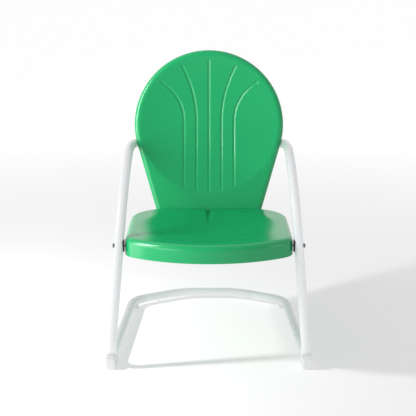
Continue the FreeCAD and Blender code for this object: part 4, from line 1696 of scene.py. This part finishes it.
@dataclass
class Studio:
    """The pale floor, the lamps and the camera."""

    plan: ChairPlan
    floor_size: float = 60.0
    floor_colour: Colour = (0.50, 0.50, 0.50)
    floor_lift: tuple[float, float] = (0.47, 0.74)
    floor_reach: tuple[float, float] = (0.7, 3.0)
    sky: float = 0.50
    mirror_front: float = 0.42
    mirror_way: tuple[float, float] = (-0.6, 0.4)
    aim: Colour = (0.0, 0.0, 0.40)
    spot: Lamp = Lamp("spot", (-1.174, -0.33, 0.936), (0.09, 0.12), 27.0)
    key: Lamp = Lamp("key", (-2.2, -0.95, 1.80), (0.80, 1.40), 71.0)
    fill: Lamp = Lamp("fill", (-2.6, -2.3, 0.75), (2.8, 1.2), 36.0)
    glint: Lamp = Lamp("glint", (1.7, -0.85, 0.75), (0.40, 0.60), 1.5)
    strip: Lamp = Lamp("strip", (-1.4, -0.40, 0.35), (0.80, 0.80), 6.0)
    side: Lamp = Lamp("side", (-1.5, -0.10, 0.66), (0.30, 0.60), 6.0)
    left_wash: Lamp = Lamp("left_wash", (-2.2, -0.95, 1.80), (1.2, 1.2), 33.0)
    right_wash: Lamp = Lamp("right_wash", (2.2, -1.6, 1.20), (1.2, 1.2), 13.0)
    low_wash: Lamp = Lamp("low_wash", (-1.6, -1.2, 0.30), (1.2, 1.2), 10.0)
    camera_distance: float = 3.1013
    camera_height: float = 1.2452
    camera_pitch: float = 75.85
    lens: float = 102.35
    sensor: float = 36.0
    camera_shift: float = -0.0022

    def build(self, pale: list[bpy.types.Object]) -> None:
        """Sets up the studio.

        Args:
            pale: The white pieces, which get a weaker light of their own.
        """
        ground = self.floor()
        self.sky_light()
        named = bpy.data.objects
        right = [piece for piece in pale if piece.name.startswith("right")]
        plots = (
            ([ground], Reach.ONLY, (self.spot,)),
            ([ground, *pale], Reach.ALL_BUT, (self.key, self.glint, self.fill)),
            ([named["seat_sheet"]], Reach.ONLY, (self.strip,)),
            ([named["back_sheet"]], Reach.ONLY, (self.side,)),
            (pale, Reach.ONLY, (self.left_wash, self.right_wash)),
            (right, Reach.ONLY, (self.low_wash,)),
        )
        for things, state, lamps in plots:
            lit = self.reach_of(things, state)
            for lamp in lamps:
                lamp.hang(self.aim, lit)
        self.camera()
        bpy.context.scene.view_settings.view_transform = "Standard"

    def floor(self) -> bpy.types.Object:
        """Lays the floor, which is lifted towards white, more so far from the lamps.

        Returns:
            The floor.
        """
        deselect()
        bpy.ops.mesh.primitive_plane_add(size=self.floor_size)
        ground = bpy.context.object
        ground.name = "floor"
        made, wiring, shader = new_shader("pale_floor")
        shader.inputs["Base Color"].default_value = (*self.floor_colour, 1.0)
        shader.inputs["Roughness"].default_value = 1.0
        shader.inputs["Specular IOR Level"].default_value = 0.0
        shader.inputs["Emission Color"].default_value = (1.0, 1.0, 1.0, 1.0)
        away = wiring.add("ShaderNodeVectorMath", {"operation": "LENGTH"}, i0=wiring.spot())
        lift = wiring.add("ShaderNodeMapRange", Value=away.outputs["Value"], From_Min=self.floor_reach[0],
                          From_Max=self.floor_reach[1], To_Min=self.floor_lift[0], To_Max=self.floor_lift[1])
        wiring.feed(shader, Emission_Strength=lift.outputs[0])
        ground.data.materials.append(made)
        return ground

    @staticmethod
    def reach_of(things: list[bpy.types.Object], state: Reach) -> bpy.types.Collection:
        """A set of things that a lamp shines on.

        Args:
            things: Some of the scene's objects.
            state: Whether a lamp shines on these alone or on all but these.

        Returns:
            The set, for light linking.
        """
        reach = bpy.data.collections.new("reach")
        for thing in things:
            reach.objects.link(thing)
        for member in reach.collection_objects:
            member.light_linking.link_state = state.value
        return reach

    def sky_light(self) -> None:
        """Fills the studio with soft light that is white where it is seen or mirrored."""
        world = bpy.data.worlds.new("studio")
        bpy.context.scene.world = world
        world.use_nodes = True
        wiring = Wiring(world.node_tree)
        background = world.node_tree.nodes["Background"]
        background.inputs["Color"].default_value = (1.0, 1.0, 1.0, 1.0)
        path = wiring.add("ShaderNodeLightPath")
        sight = wiring.add("ShaderNodeTexCoord").outputs["Generated"]
        way = wiring.add("ShaderNodeSeparateXYZ", Vector=sight)
        mirror = wiring.add("ShaderNodeMapRange", Value=way.outputs["Y"], From_Min=self.mirror_way[0],
                            From_Max=self.mirror_way[1], To_Min=self.mirror_front, To_Max=1.0)
        shiny = wiring.math("MULTIPLY", path.outputs["Is Glossy Ray"], mirror.outputs[0])
        seen = wiring.math("MAXIMUM", path.outputs["Is Camera Ray"], path.outputs["Is Glossy Ray"])
        rest = wiring.math("MULTIPLY", wiring.math("SUBTRACT", 1.0, seen), self.sky)
        strength = wiring.math("ADD", wiring.math("MAXIMUM", path.outputs["Is Camera Ray"], shiny), rest)
        wiring.feed(background, Strength=strength)

    def camera(self) -> None:
        """Sets the camera in front of the chair."""
        data = bpy.data.cameras.new("front")
        data.lens = self.lens
        data.sensor_width = self.sensor
        data.shift_x = self.camera_shift
        holder = bpy.data.objects.new("front", data)
        bpy.context.collection.objects.link(holder)
        holder.location = self.plan.base + Vector((0, -self.camera_distance, self.camera_height))
        holder.rotation_euler = (math.radians(self.camera_pitch), 0, 0)
        bpy.context.scene.camera = holder


def main() -> None:
    """Builds the chair's looks and the studio round it."""
    logging.basicConfig(level=logging.INFO, format="%(name)s: %(message)s")
    plan = ChairPlan()
    finishes = Finishes()
    StampedSeat(plan).build(finishes)
    RoundBack(plan).build(finishes)
    SpringFrame(plan).build(finishes)
    Feet(plan).build(finishes)
    Saddles(plan).build(finishes)
    Fixings().build(finishes)
    Studio(plan).build(finishes.pale)


if __name__ == "__main__":
    main()
